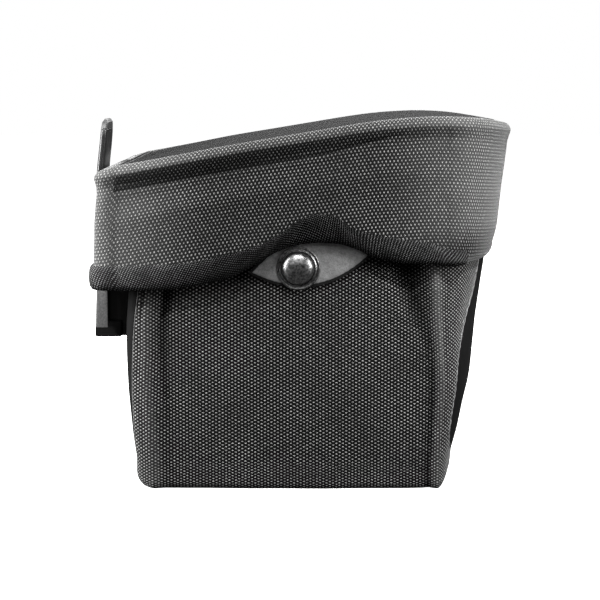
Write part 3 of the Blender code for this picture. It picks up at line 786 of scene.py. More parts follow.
def stitches(
    line: Sequence[Vector], normals: Sequence[Vector], pitch: float, length: float, thickness: float
) -> bmesh.types.BMesh:
    """Lays single stitches along a line.

    Args:
        line: closely spaced points of the seam.
        normals: the direction away from the cloth at each point.
        pitch: distance from stitch to stitch.
        length: length of one stitch.
        thickness: thickness of the thread.

    Returns:
        All the stitches in one mesh.
    """
    made = bmesh.new()
    walked, wanted = 0.0, pitch / 2
    for index in range(len(line) - 1):
        start, end = line[index], line[index + 1]
        step = (end - start).length
        while walked + step >= wanted and step > 0:
            spot = start.lerp(end, (wanted - walked) / step)
            ahead = (end - start).normalized()
            away = normals[index]
            across = away.cross(ahead).normalized()
            turn = Matrix((across, ahead, away)).transposed().to_4x4()
            size = Matrix.Diagonal((thickness, length / 2, thickness * 0.8, 1.0))
            lift = Matrix.Translation(spot + away * thickness * 0.35)
            bmesh.ops.create_uvsphere(made, u_segments=8, v_segments=5, radius=1.0, matrix=lift @ turn @ size)
            wanted += pitch
        walked += step
    return made


# Body


LID_HEM = Curve(
    (0.0, 0.099, 0.178, 0.248, 0.297, 0.342, 0.377, 0.421, 0.456, 0.5, 0.545, 0.585, 0.629, 0.664,
     0.709, 0.778, 0.813, 0.837, 0.872, 1.0),
    (0.0, 0.0, 0.03, 0.13, 0.24, 0.41, 0.59, 0.81, 0.93, 1.0, 0.99, 0.91, 0.74, 0.65,
     0.58, 0.55, 0.51, 0.58, 0.75, 0.77),
)


@dataclass
class Body:
    """The woven body with its smooth back and front panels."""

    hem_low: float = 0.1015
    hem_arch: float = 0.0235
    lid_rear: float = 0.0951
    lid_length: float = 0.2119
    height: float = 0.148
    rear: float = 0.0815
    crease: float = 0.0752
    bow: float = 0.035
    half_width: float = 0.103
    corner: float = 0.0095
    wall: float = 0.0018
    dent: float = 0.0010
    window_height: float = 0.01406
    floor_radii: Curve = Curve((0.0, 1.0, 2.0, 3.0, 3.5, 4.0), (0.0075, 0.0075, 0.0038, 0.0038, 0.012, 0.012))
    levels: tuple[float, ...] = (0.095, 0.128, 0.169, 0.243, 0.338, 0.446, 0.554, 0.662, 0.764, 0.878, 1.0)
    rears: tuple[float, ...] = (0.950, 0.957, 0.966, 0.979, 0.994, 1.0, 0.998, 0.985, 0.985, 0.988, 0.988)
    creases: tuple[float, ...] = (0.970, 0.975, 0.980, 0.988, 0.998, 0.984, 0.963, 0.944, 0.934, 0.926, 0.918)
    bows: tuple[float, ...] = (0.345, 0.380, 0.420, 0.470, 0.540, 0.620, 0.720, 0.840, 0.935, 0.970, 1.0)
    widths: tuple[float, ...] = (0.973, 0.975, 0.977, 0.980, 0.984, 0.988, 0.993, 0.998, 1.0, 0.998, 0.993)
    rear_seams: tuple[float, ...] = (1.20, 1.20, 1.25, 1.36, 1.46, 1.55, 1.62, 1.68, 1.70, 1.72, 1.72)
    front_seams: tuple[float, ...] = (3.45, 3.33, 3.23, 3.22, 3.24, 3.29, 3.39, 3.52, 3.56, 3.56, 3.56)
    side_dents: Curve = Curve(
        (0.0, 0.04, 0.12, 0.3, 0.5, 0.7, 0.88, 0.97, 1.0), (0.0, 1.0, 0.7, 0.3, 0.0, 0.3, 0.7, 1.0, 0.0)
    )
    # whole panel steps: rear middle, rear seam, rear crease, front crease, front seam, front middle
    column_knots: tuple[Point, ...] = ((0, 16), (1, 14), (2, 110), (3, 22), (4, 26), (5, 0))
    arcs: dict[float, list[float]] = field(default_factory=dict)

    def outline(self, z: float) -> Outline:
        """Gives the body's outline at a height."""
        share = max(z, self.window_height) / self.height

        def read(values: tuple[float, ...]) -> float:
            return Curve(self.levels, values).at(share)

        return Outline(
            z, read(self.rears) * self.rear, read(self.creases) * self.crease,
            read(self.bows) * self.bow, read(self.widths) * self.half_width, self.corner,
        )

    def station(self, panel: float, z: float) -> float:
        """Turns a panel place into a station of the outline.

        Args:
            panel: 0 back middle, 1 back seam, 2 and 3 the creases, 4 front seam, 5 front middle.
            z: the height, because the seams slant.

        Returns:
            The station.
        """
        share = max(z, self.window_height) / self.height
        rear_seam = Curve(self.levels, self.rear_seams).at(share)
        front_seam = Curve(self.levels, self.front_seams).at(share)
        stops = (0.0, rear_seam, 2.0, 3.0, front_seam, 4.0)
        index = min(int(panel), 4)
        return stops[index] + (stops[index + 1] - stops[index]) * (panel - index)

    def relief(self, panel: float, z: float) -> float:
        """Gives how far the cloth stands out of its plain outline.

        Args:
            panel: panel place.
            z: height.

        Returns:
            Distance outward.
        """
        if not 1 <= panel <= 4:
            return 0.0
        rise = z / self.height
        out = 0.0
        if 2 <= panel <= 3:
            along = panel - 2
            out -= self.dent * self.side_dents.at(along)
            # a deeper trough beside the back crease, fading toward the floor
            fade = min(max((rise - 0.16) / 0.3, 0.0), 1.0)
            out -= 0.0026 * hump(along - 0.058, 0.018) * fade
            # the cloth sinks behind the front crease, wide high up and closing downward
            slant = min(max((0.72 - rise) / 0.25, 0.0), 1.0)
            reach = 0.058 - 0.036 * slant
            out -= 0.0046 * hump(along - (0.900 + 0.070 * slant), reach) * hump(rise - 0.70, 0.22)
            out -= 0.0012 * hump(along - 0.968, 0.014) * (1 - min(max((rise - 0.34) / 0.2, 0.0), 1.0))
            out += 0.0009 * hump(along - 0.5, 0.26) * hump(rise - 0.30, 0.22)
            out += 0.00022 * math.sin(23.0 * along + 5.0 * rise) * hump(rise - 0.08, 0.10)
        ahead = (panel - 3) * (0.022 if panel > 3 else 0.147)
        behind = (panel - 2) * (0.147 if panel > 2 else 0.012)
        out += (0.0010 + 0.0008 * hump(rise - 0.60, 0.3)) * hump(ahead, 0.0030) + 0.0010 * hump(behind, 0.0026)
        # drawn in under the lid's edge, so that the edge stands clear of it
        along = min(max(panel - 2, 0.0), 1.0)
        x = self.outline(z).point(self.station(panel, z), 1).x
        edge = self.hem_low + self.hem_arch * LID_HEM.at((x + self.lid_rear) / self.lid_length)
        under = min(max((z - edge + 0.016) / 0.016, 0.0), 1.0)
        round_it = max(1 - max(panel - 3, 2 - panel, 0.0) / 0.8, 0.0)
        share = (0.5 + 0.5 * min(1.0, 12 * along, 12 * (1 - along))) * round_it
        out -= 0.0036 * under * under * (3 - 2 * under) * share
        ripple = noise.noise(Vector((panel * 4.1, rise * 4.7, 3.3)))
        return out + 0.00035 * ripple

    def point(self, panel: float, z: float, side: int, sink: float = 0.0) -> Vector:
        """Gives a point of the body's cloth.

        Args:
            panel: panel place.
            z: height.
            side: the sign of Y.
            sink: distance inward, for a panel that lies under its neighbour.

        Returns:
            The point.
        """
        return self.outline(z).point(self.station(panel, z), side, self.relief(panel, z) - sink)

    def wear(self, panel: float, z: float) -> Point:
        """Gives how pale and how dark the cloth is: paler along the creases, from rubbing and painted highlight, and
        darker in the folds beside them and under the lid's edge, which is painted shade.
        """
        rise = z / self.height
        ahead = (panel - 3) * (0.022 if panel > 3 else 0.147)
        behind = (panel - 2) * (0.147 if panel > 2 else 0.012)
        # paler along both crease ridges, from rubbing and painted highlight, and a little paler on both gussets
        front = (0.55 + 0.35 * hump(rise - 0.52, 0.22)) * hump(ahead - 0.0006, 0.0024)
        back = 0.40 * hump(behind - 0.0010, 0.0020)
        pale = min(front + back + (0.12 if panel > 3 or panel < 2 else 0.0), 1.0)
        if not 2 <= panel <= 3:
            return pale, 0.0
        along = panel - 2
        slant = min(max((0.72 - rise) / 0.25, 0.0), 1.0)
        # painted shade in the troughs beside both creases and in a narrow groove low by the front crease
        dark = 0.50 * hump(along - 0.062, 0.018) * min(max((rise - 0.16) / 0.3, 0.0), 1.0)
        dark += 0.55 * hump(along - (0.905 + 0.062 * slant), 0.050 - 0.034 * slant) * hump(rise - 0.68, 0.20)
        dark += 0.35 * hump(along - 0.970, 0.012) * (1 - min(max((rise - 0.34) / 0.2, 0.0), 1.0))
        x = self.outline(z).point(self.station(panel, z), 1).x
        edge = self.hem_low + self.hem_arch * LID_HEM.at((x + self.lid_rear) / self.lid_length)
        # painted shadow under the lid's edge
        dark += 0.40 * min(max((z - edge + 0.010) / 0.008, 0.0), 1.0) ** 2
        return pale, min(dark, 0.85)

    def floor_point(self, panel: float, turn: float, side: int) -> Vector:
        """Gives a point of the rounding down to the floor, from turn 0 to 1."""
        station = self.station(panel, self.window_height)
        radius = self.floor_radii.at(station)
        angle = turn * math.pi / 2
        out = self.relief(panel, self.window_height) - radius * (1 - math.cos(angle))
        spot = self.outline(self.window_height).point(station, side, out)
        spot.z = radius * (1 - math.sin(angle))
        return spot

    def loop_places(self) -> list[tuple[float, int]]:
        """Lists panel places and sides round the whole body, from the back's middle."""
        half = spread(self.column_knots)
        right = [(panel, Side.RIGHT.value) for panel in half]
        return right + [(panel, Side.LEFT.value) for panel in reversed(half[:-1])]

    def cloth_along(self, places: Sequence[tuple[float, int]], z: float) -> list[float]:
        """Gives the length along the cloth to each place, from the middle of the right side."""
        points = [self.point(panel, z, side) for panel, side in places]
        lengths = [0.0]
        for start, end in zip(points, points[1:]):
            lengths.append(lengths[-1] + (end - start).xy.length)
        middle = min(range(len(places)), key=lambda i: abs(places[i][0] - 2.5) + (places[i][1] > 0) * 9)
        shift = lengths[middle] - points[middle].x
        return [length - shift for length in lengths]

    def woven(self) -> bmesh.types.BMesh:
        """Makes the woven sides, gussets and floor as one sheet."""
        places = self.loop_places()
        heights = spread(((self.height, 92), (self.window_height, 0)))
        turns = [turn / 7 for turn in range(0, 8)]
        insets = (0.94, 0.86, 0.72, 0.55, 0.36, 0.18, 0.0)
        rows = len(heights) + len(turns) + len(insets) - 1
        along = [self.cloth_along(places, height) for height in heights]

        def place(column: int, row: int) -> tuple[Vector, Point]:
            level = rows - row
            panel, side = places[column]
            if level < len(heights):
                spot = self.point(panel, heights[level], side)
                return spot, (along[level][column], spot.z)
            level -= len(heights)
            if level < len(turns):
                spot = self.floor_point(panel, turns[level], side)
                return spot, (along[-1][column], spot.z * 1.5 - 0.004)
            spot = self.floor_point(panel, 1.0, side)
            share = insets[level - len(turns)]
            spot = Vector((spot.x * share, spot.y * share, 0.0))
            return spot, (spot.x - 0.4, spot.y - 0.4)

        def in_window(column: int, row: int) -> bool:
            panel = (places[column][0] + places[column + 1][0]) / 2
            return rows - row <= len(heights) - 1 and not 1 < panel < 4

        def wear_and_light(column: int, row: int) -> Point:
            level = rows - row
            return self.wear(places[column][0], heights[min(level, len(heights) - 1)])

        sheet = mapped_sheet(len(places) - 1, rows, place, wear=wear_and_light)
        drop_faces(sheet, len(places) - 1, in_window)
        bmesh.ops.remove_doubles(sheet, verts=sheet.verts, dist=1e-6)
        return sheet

    def panel_sheet(self, first: float, last: float, sides: tuple[int, int], steps: int) -> bmesh.types.BMesh:
        """Makes a smooth panel between two seams, over the back's or the front's middle.

        Args:
            first: panel place of its seam.
            last: panel place of its middle.
            sides: the side that it starts on, and the one that it ends on.
            steps: steps from the seam to the middle.

        Returns:
            The sheet.
        """
        half = [first + (last - first) * step / steps for step in range(steps + 1)]
        places = [(panel, sides[0]) for panel in half]
        places += [(panel, sides[1]) for panel in reversed(half[:-1])]
        heights = spread(((self.height, 60), (self.window_height + 0.0005, 0)))
        front = first > 2

        def place(column: int, row: int) -> tuple[Vector, Point]:
            z = heights[len(heights) - 1 - row]
            panel, side = places[column]
            share = abs(panel - last) / abs(last - first)
            sink = 0.0007 * hump(1 - share, 0.10)
            swell = 0.0010 * (1 - share ** 2) * math.sin(math.pi * z / self.height)
            ripple = 0.0007 * noise.noise(Vector((side * share * 2.2, z * 24.0, 7.7 if front else 1.7)))
            swell = swell + ripple if front else ripple * 0.5
            spot = self.outline(z).point(self.station(panel, z), side, swell - sink)
            return spot, (column / len(places) * 0.2, z)

        return mapped_sheet(len(places) - 1, len(heights) - 1, place)

    def seam_line(self, panel: float, side: int, out: float, low: float, high: float) -> list[Vector]:
        """Lists points along a seam from low to high."""
        heights = [low + (high - low) * step / 110 for step in range(111)]
        return [
            self.outline(z).point(
                self.station(panel, z) + 0.006 * noise.noise(Vector((z * 260.0, side * 2.0, panel))),
                side, out + 0.00015 * noise.noise(Vector((z * 700.0, panel, side * 5.0))),
            )
            for z in heights
        ]

    def build(self) -> None:
        """Builds and places the pieces of the body."""
        right, left = Side.RIGHT.value, Side.LEFT.value
        Piece("body_woven", self.woven(), Finish.BODY, "woven_fabric", ("woven_shell",), self.wall).place()
        back = self.panel_sheet(1.0, 0.0, (left, right), 18)
        Piece("body_back", back, Finish.COATED, "coated_fabric", ("rear_panel",), self.wall).place()
        front = self.panel_sheet(4.0, 5.0, (right, left), 26)
        Piece("body_front", front, Finish.COATED, "coated_fabric", ("front_panel",), self.wall).place()
        for side in Side:
            line = self.seam_line(4.0, side.value, 0.00005, 0.020, 0.118)
            edge = tube(line, lambda share: 0.00030 + 0.00010 * math.sin(share * 151.0), 6)
            Piece("front_seam_edge_" + side.label, edge, Finish.RAW_EDGE, "woven_fabric").place()
            line = self.seam_line(1.0, side.value, -0.0001, 0.018, 0.140)
            cord = tube(line, lambda share: 0.00034, 6)
            Piece("back_seam_edge_" + side.label, cord, Finish.STITCH, "woven_fabric").place()


# Lid


@dataclass
class Lid:
    """The lid that hangs over the body, with its roll, top panel and bound edge."""

    body: Body
    rear: float = 0.0951
    crease: float = 0.0772
    bow: float = 0.0396
    top: float = 0.1848
    half_width: float = 0.1059
    corner: float = 0.010
    flare: float = 0.027
    bow_lean: float = 0.133
    rim_drop: float = 0.0270
    roll_height: float = 0.0080
    roll_width: float = 0.0080
    groove: float = 0.0024
    groove_shares: Curve = Curve(
        (0.0, 1.3, 1.9, 2.08, 2.35, 2.55, 2.8, 3.0, 3.3, 4.0), (0.5, 0.35, 0.45, 1.35, 1.5, 1.05, 0.75, 0.45, 0.15, 0.1)
    )
    hem_low: float = 0.1015
    hem_arch: float = 0.0235
    lip_drop: float = 0.007
    lip_clearance: float = 0.0009
    lip_start: float = 3.20
    tape_end: float = 3.16
    seam_sink: float = 0.0005
    seam_lap: float = 0.0006
    top_middle: float = 0.010
    top_swell: float = 0.0016
    stitch_share: float = 0.948
    tuck: float = 0.0012
    tuck_height: float = 0.011
    notch_drop: float = 0.036
    notch_half_width: float = 0.038
    wall: float = 0.0018
    rim: Curve = Curve(
        (-0.05, 0.099, 0.297, 0.496, 0.644, 0.743, 0.823, 0.912, 1.041),
        (1.02, 0.82, 0.53, 0.265, 0.08, 0.01, 0.0, 0.045, 0.21),
    )
    hem: Curve = LID_HEM
    roll_below: Curve = Curve((0, 1, 2, 3, 4, 5, 6, 7), (0.06, 0.0, 0.15, 0.50, 0.90, 1.30, 2.0, 3.25))
    roll_inward: Curve = Curve((0, 1, 2, 3, 4, 5, 6, 7), (1.0, 0.6, 0.18, -0.08, -0.04, 0.0, 0.0, 0.0))
    roll_groove: Curve = Curve((0, 1, 2, 3, 4, 5, 6, 7), (0.0, 0.0, 0.0, 0.0, 0.55, 1.0, 0.60, 0.0))
    tape_width: Curve = Curve((0.0, 0.18, 0.35, 0.5, 0.64, 0.8, 0.9), (0.0106, 0.0112, 0.0124, 0.0124, 0.0112, 0.0086, 0.0064))

    @property
    def length(self) -> float:
        """Gives the lid's length at its crease and bow."""
        return self.rear + self.crease + self.bow

    def along(self, x: float) -> float:
        """Turns a place along X into a share of the lid's length."""
        return (x + self.rear) / self.length

    def outline(self, z: float) -> Outline:
        """Gives the skirt's plain outline at a height."""
        below = self.top - z
        return Outline(
            z, self.rear + below * self.flare, self.crease, self.bow - below * self.bow_lean,
            self.half_width + below * self.flare, self.corner,
        )

    def rim_height(self, x: float) -> float:
        """Gives the height of the lid's top line."""
        return self.top - self.rim_drop * self.rim.at(self.along(x))

    def hem_height(self, x: float) -> float:
        """Gives the height of the skirt's lower edge."""
        return self.hem_low + self.hem_arch * self.hem.at(self.along(x))

    def stations(self) -> list[float]:
        """Lists the stations of half the lid, with one at the notch's side."""
        notch = self.notch_half_width / (self.half_width - self.corner)
        return spread(((0.0, 8), (notch, 10), (1.0, 12), (2.0, 110), (3.0, 12), (self.lip_start, 26), (4.0, 0)))

    def loop_places(self) -> list[tuple[float, int]]:
        """Lists stations and sides round the whole lid, from the back's middle."""
        half = self.stations()
        right = [(station, Side.RIGHT.value) for station in half]
        return right + [(station, Side.LEFT.value) for station in reversed(half[:-1])]

    def seam_depth(self, station: float) -> float:
        """Gives how far under the rim the seam line is, which climbs near the front."""
        return 0.0120 - 0.0040 * min(max((station - 2.62) / 0.22, 0.0), 1.0)

    def relief(self, station: float, side: int, below: float, z: float) -> float:
        """Gives the small swells of the skirt's cloth.

        Args:
            station: place round the outline.
            side: the sign of Y.
            below: distance under the rim's top line.
            z: height.

        Returns:
            Distance outward.
        """
        hem_fade = min(max((below - 0.012) / 0.015, 0.0), 1.0)
        out = 0.0007 * noise.noise(Vector((station * 2.3, z * 26.0, side * 4.0))) * hem_fade
        # the side isn't quite flat: it turns a little before each corner
        turn = max(station - 2.70, 0.0) / 0.30 if station <= 3 else max(1 - (station - 3) / 0.4, 0.0)
        out -= 0.0034 * min(turn, 1.0) ** 2 * (1.0 if station <= 3 else turn)
        turn = max(2.24 - station, 0.0) / 0.24 if station >= 2 else max(1 - (2 - station) / 0.7, 0.0)
        out -= 0.0030 * min(turn, 1.0) ** 2
        if 2 <= station <= 3:
            along = station - 2
            seam = self.seam_depth(station)
            fade = 1 - min(max((along - 0.78) / 0.12, 0.0), 1.0)
            out -= 0.00055 * hump(below - seam, 0.0008) * fade
            out += 0.00040 * hump(below - seam - 0.0020, 0.0014) * fade
            # the skirt draws in over the snap
            out -= 0.0010 * hump(along - 0.50, 0.18) * hump(z - 0.137, 0.012)
        return out

    def wear(self, station: float, row: float) -> Point:
        """Gives the skirt's paler and darker cloth: paler at its corners and on the roll, from rubbing and painted
        highlight, and darker in the seam, the groove and the turned-under front, all painted shade.

        Args:
            station: place round the outline.
            row: row as skirt_point takes it.

        Returns:
            How rubbed pale and how darkened it is, each from 0 to 1.
        """
        front = min(max((station - 2.76) / 0.40, 0.0), 1.0)
        back = min(max((2.30 - station) / 0.42, 0.0), 1.0)
        # paler toward both corners: painted highlight, partly rubbing
        ends = 0.85 * front * front * (3 - 2 * front) + 0.85 * back * back * (3 - 2 * back)
        # paler along the roll: painted highlight, partly rubbing
        roll = (0.34 + 0.20 * hump(station - 2.1, 0.25)) * hump(row - 2.6, 0.9)
        in_groove = 1 - 0.75 * hump(row - 5.1, 0.9) * max(1 - 2.2 * abs(station - 2.3), 0.0)
        turned_under = max(1 - 1.5 * max(row - 8.30, 0.0) * min(front * 1.4, 1.0), 0.0)
        # painted shade in the groove under the roll
        dark = 0.45 * hump(row - 5.0, 0.8) * max(1 - 2.2 * abs(station - 2.25), 0.0)
        # painted shade in the seam line below the roll
        if 2 <= station <= 3 and row <= 7:
            below = self.roll_below.at(row) * self.roll_height
            fade = 1 - min(max((station - 2.78) / 0.12, 0.0), 1.0)
            dark += 0.75 * hump(below - self.seam_depth(station), 0.0007) * fade
        # painted shade on the front's turned-under lower edge
        dark += 0.40 * min(front * 1.4, 1.0) * min(max(row - 8.3, 0.0) / 0.7, 1.0)
        return min((ends + roll) * in_groove, 1.0) * turned_under, min(dark, 0.85)

    def skirt_point(self, station: float, side: int, row: float) -> tuple[Vector, float]:
        """Gives a point of the skirt.

        Args:
            station: place round the outline.
            side: the sign of Y.
            row: 0 to 7 down the roll and its groove, 8 above the tape, 9 the edge, 10 the lip's end.

        Returns:
            The point, and its height's distance under the rim.
        """
        plan = self.outline(self.top).point(station, side)
        top = self.rim_height(plan.x)
        edge = self.hem_height(plan.x)
        groove = self.groove * self.groove_shares.at(station)
        if row <= 7:
            below = self.roll_below.at(row) * self.roll_height
            out = -self.roll_inward.at(row) * self.roll_width - self.roll_groove.at(row) * groove
        elif row <= 9:
            start = self.roll_below.at(7) * self.roll_height
            below = start + (top - edge - start) * (row - 7) / 2
            out = 0.0
        else:
            return self.lip_point(station, side, row - 9, edge), top - edge
        z = top - below
        out += self.relief(station, side, below, z) - self.tucked(station, z - edge)
        return self.outline(z).point(station, side, out), below

    def tucked(self, station: float, over_edge: float) -> float:
        """Gives how far the front draws in, close above its edge."""
        share = min(max((station - 3.0) / 0.12, 0.0), 1.0)
        return self.tuck * share * max(1 - over_edge / self.tuck_height, 0.0) ** 2

    def lip_point(self, station: float, side: int, turn: float, edge: float) -> Vector:
        """Gives a point of the front's edge as it turns down and in to the body."""
        z = edge - self.lip_drop * math.sin(turn * math.pi / 2)
        out = self.relief(station, side, 0.05, edge) - self.tucked(station, 0.0)
        start = self.outline(edge).point(station, side, out)
        if station <= self.lip_start:
            return self.outline(z).point(station, side)
        inner = self.body.outline(edge - self.lip_drop).point(station, side, self.lip_clearance)
        blend = min((station - self.lip_start) / 0.12, 1.0)
        spot = start.lerp(inner, (1 - math.cos(turn * math.pi / 2)) * blend)
        spot.z = z
        return spot

    def cloth_along(self, places: Sequence[tuple[float, int]]) -> list[float]:
        """Gives the length along the cloth to each place, from the back's middle."""
        outline = self.outline(0.145)
        points = [outline.point(station, side) for station, side in places]
        lengths = [0.0]
        for start, end in zip(points, points[1:]):
            lengths.append(lengths[-1] + (end - start).length)
        return lengths

    def skirt(self) -> bmesh.types.BMesh:
        """Makes the skirt as one sheet, with the notch in its back."""
        places = self.loop_places()
        levels = spread(((0.0, 14), (4.0, 24), (7.0, 10), (8.0, 8), (9.0, 7), (10.0, 0)))
        along = self.cloth_along(places)
        table = [[self.skirt_point(station, side, level) for station, side in places] for level in levels]
        depth = [[0.0] * len(places)]
        for above, here in zip(table, table[1:]):
            depth.append([last + (a[0] - b[0]).length for last, a, b in zip(depth[-1], above, here)])
        first_lip = next(i for i, level in enumerate(levels) if level >= 9)

        def place(column: int, row: int) -> tuple[Vector, Point]:
            level = len(levels) - 1 - row
            return table[level][column][0], (along[column], 0.2 - depth[level][column])

        notch = self.notch_half_width / (self.half_width - self.corner)

        def cut_away(column: int, row: int) -> bool:
            level = len(levels) - 2 - row
            station = (places[column][0] + places[column + 1][0]) / 2
            middle = (table[level][column][0].z + table[level + 1][column][0].z) / 2
            in_notch = station < notch and self.rim_height(-self.rear) - middle > self.notch_drop
            return in_notch or (level >= first_lip and station < self.lip_start)

        def wear_and_light(column: int, row: int) -> Point:
            return self.wear(places[column][0], levels[len(levels) - 1 - row])

        sheet = mapped_sheet(len(places) - 1, len(levels) - 1, place, wear=wear_and_light)
        drop_faces(sheet, len(places) - 1, cut_away)
        bmesh.ops.remove_doubles(sheet, verts=sheet.verts, dist=1e-6)
        return sheet

    def top_rim(self) -> list[Vector]:
        """Lists points of the top panel's edge, just outside the roll's seam."""
        points = []
        for station, side in self.loop_places():
            plan = self.outline(self.top).point(station, side)
            z = self.rim_height(plan.x) - self.seam_sink
            points.append(self.outline(z).point(station, side, self.seam_lap - self.roll_width))
        return points

    def top_spot(self, edge: Vector, share: float) -> Vector:
        """Gives a point of the top panel.

        Args:
            edge: the point of the panel's edge that it is on the way to.
            share: how far out it is, from 0 at the middle to 1 at the edge.

        Returns:
            The point.
        """
        x = self.top_middle + (edge.x - self.top_middle) * share
        y = edge.y * share
        # it dips beside its seam and swells a little toward the middle
        swell = self.top_swell * (1 - share ** 3) - 0.0007 * hump(share - 0.93, 0.03)
        swell += 0.0008 * noise.noise(Vector((x * 22.0, y * 22.0, 5.0))) * (1 - share ** 6)
        return Vector((x, y, self.rim_height(x) - self.seam_sink + swell))

    def top_panel(self) -> bmesh.types.BMesh:
        """Makes the smooth top, a little crowned, with its seam closed at the middle."""
        rim = self.top_rim()
        rings = (1.0, 0.985, 0.96, 0.93, 0.89, 0.84, 0.77, 0.68, 0.57, 0.45, 0.32, 0.18, 0.07, 0.0)

        def place(column: int, row: int) -> tuple[Vector, Point]:
            spot = self.top_spot(rim[column], rings[row])
            if row == 0:
                spot.z -= self.seam_lap
            return spot, (spot.x, spot.y)

        return mapped_sheet(len(rim) - 1, len(rings) - 1, place, closed=True)

    def top_stitches(self) -> bmesh.types.BMesh:
        """Sews round the top panel, a few millimetres inside its edge."""
        line = [self.top_spot(edge, self.stitch_share) for edge in self.top_rim()]
        return stitches(line, [Vector((0.0, 0.0, 1.0))] * len(line), 0.0042, 0.0027, 0.00030)

    def hem_path(self) -> list[tuple[float, float, float, float, float]]:
        """Lists places along the bound edge, as plan length, height and way off the edge.

        Returns:
            Tuples of signed plan length, height, the two parts of the way off the
            edge, and the tape's width outside.
        """
        outline = self.outline(0.115)
        half = spread(((0.0, 6), (0.4, 6), (1.0, 14), (2.0, 190), (3.0, 12), (self.tape_end, 0)))
        points = [outline.point(station, 1) for station in half]
        lengths = [0.0]
        for start, end in zip(points, points[1:]):
            lengths.append(lengths[-1] + (end - start).xy.length)
        path = []
        for station, point, length in zip(half, points, lengths):
            if length > self.notch_half_width + 0.004:
                # past the crease the tape hardly climbs with the edge
                x = min(point.x, self.crease) + 0.3 * max(point.x - self.crease, 0.0)
                path.append((length, self.hem_height(x), self.tape_width.at(self.along(x))))
        notch_top = self.rim_height(-self.rear) - self.notch_drop
        corner = 0.0022
        side = self.notch_half_width
        width = self.tape_width.at(0.0)
        low = self.hem_low
        turns = [math.pi / 2 * step / 6 for step in range(7)]
        ring = [(side + corner * (1 - math.sin(a)), low + corner * (1 - math.cos(a)), width) for a in turns]
        ring += [(side, low + (notch_top - low) * step / 12, width) for step in range(3, 11)]
        ring += [(side - corner * (1 - math.cos(a)), notch_top - corner * (1 - math.sin(a)), width) for a in turns]
        ring += [(side - corner - (side - corner) * step / 10, notch_top, width) for step in range(1, 11)]
        rear_part = ring
        right = list(reversed(path)) + rear_part
        whole = [(-a, h, w) for a, h, w in right] + [(a, h, w) for a, h, w in reversed(right[:-1])]
        found = []
        last = len(whole) - 1
        for index, (a, h, w) in enumerate(whole):
            before, after = whole[max(index - 1, 0)], whole[min(index + 1, last)]
            run = Vector((after[0] - before[0], after[1] - before[1])).normalized()
            # the skirt lies to the right of the way walked, so its edge faces left
            found.append((a, h, run.y, -run.x, w))
        return found

    def skin(self, length: float, z: float) -> tuple[Vector, Vector, Vector, Vector]:
        """Gives the skirt's place and directions for a signed plan length and a height."""
        side = -1 if length < 0 else 1
        outline = self.outline(z)
        span = self.plan_lengths()
        station = Curve(tuple(span[1]), tuple(span[0])).at(abs(length))
        step = 0.004
        low_station, high_station = max(station - step, 0.0), min(station + step, 4.0)
        point = outline.point(station, side, self.relief(station, side, 0.05, z))
        ahead = (outline.point(high_station, side) - outline.point(low_station, side)).normalized()
        if side < 0:
            ahead = -ahead
        up = (self.outline(z + 0.002).point(station, side) - self.outline(z - 0.002).point(station, side)).normalized()
        normal = ahead.cross(up).normalized()
        if normal.dot(Vector((point.x - 0.01, point.y, 0.0))) < 0:
            normal = -normal
        return point, ahead, up, normal

    def plan_lengths(self) -> tuple[list[float], list[float]]:
        """Gives stations, and the plan length from the back's middle to each."""
        if not hasattr(self, "_plan"):
            stations = spread(((0.0, 8), (1.0, 16), (2.0, 40), (3.0, 20), (3.4, 0)))
            points = [self.outline(0.115).point(station, 1) for station in stations]
            lengths = [0.0]
            for start, end in zip(points, points[1:]):
                lengths.append(lengths[-1] + (end - start).xy.length)
            self._plan = (stations, lengths)
        return self._plan

    def binding(self) -> bmesh.types.BMesh:
        """Folds the tape over the skirt's edge, a little puckered, with a rolled end."""
        path = self.hem_path()
        last = len(path) - 1
        inside = self.wall + 0.0010
        profile_knots = []
        walked = [0.0]
        for start, end in zip(path, path[1:]):
            walked.append(walked[-1] + math.hypot(end[0] - start[0], end[1] - start[1]))

        def section(width: float, pucker: float, curl: float) -> list[Point]:
            """Lists (out, beyond) pairs from the tape's outer top edge round to its inner one."""
            out = 0.0018 + pucker
            ring = [(0.0004, -width), (out * 0.85, -width + 0.0004)]
            ring += [(out + 0.0006 * math.sin(math.pi * t) + curl * t * t, -width * (1 - t)) for t in (0.25, 0.5, 0.75)]
            ring += [(out + curl, -0.0004), (0.0004 + curl * 0.6, 0.0013), (-self.wall - 0.0002, 0.0014 - curl * 0.3)]
            ring += [(-inside, -0.0002), (-inside, -0.006), (-self.wall - 0.0002, -0.006)]
            ring += [(-self.wall - 0.0002, -0.0002), (0.0001, 0.0002)]
            return ring

        count = len(section(0.01, 0.0, 0.0))
        profile_knots.append(count)

        def place(column: int, row: int) -> tuple[Vector, Point]:
            a, h, off_a, off_h, width = path[column]
            end_share = min(walked[column], walked[last] - walked[column]) / 0.016
            end_fade = max(1 - end_share, 0.0)
            pucker = 0.00028 * noise.noise(Vector((walked[column] * 240.0, 0.0, 2.0)))
            curl = 0.0016 * end_fade * math.sin(math.pi * min(end_share, 1.0)) + 0.0010 * end_fade
            ring = section(width * (1 - 0.35 * end_fade), pucker, curl)
            out, beyond = ring[row % count]
            point, ahead, up, normal = self.skin(a, h)
            off = ahead * off_a + up * off_h
            if a < 0:
                off = ahead * -off_a + up * off_h
            wobble = 0.00025 * noise.noise(Vector((walked[column] * 150.0, 4.0, row * 0.2)))
            spot = point + normal * out + off * (beyond + wobble)
            measure = (0.0, 0.001, 0.004, 0.007, 0.010, 0.0125, 0.0145, 0.0165, 0.018, 0.023, 0.024, 0.029, 0.031, 0.032)
            return spot, (walked[column], measure[min(row, len(measure) - 1)])

        def wear_and_light(column: int, row: int) -> Point:
            x = self.skin(path[column][0], path[column][1])[0].x
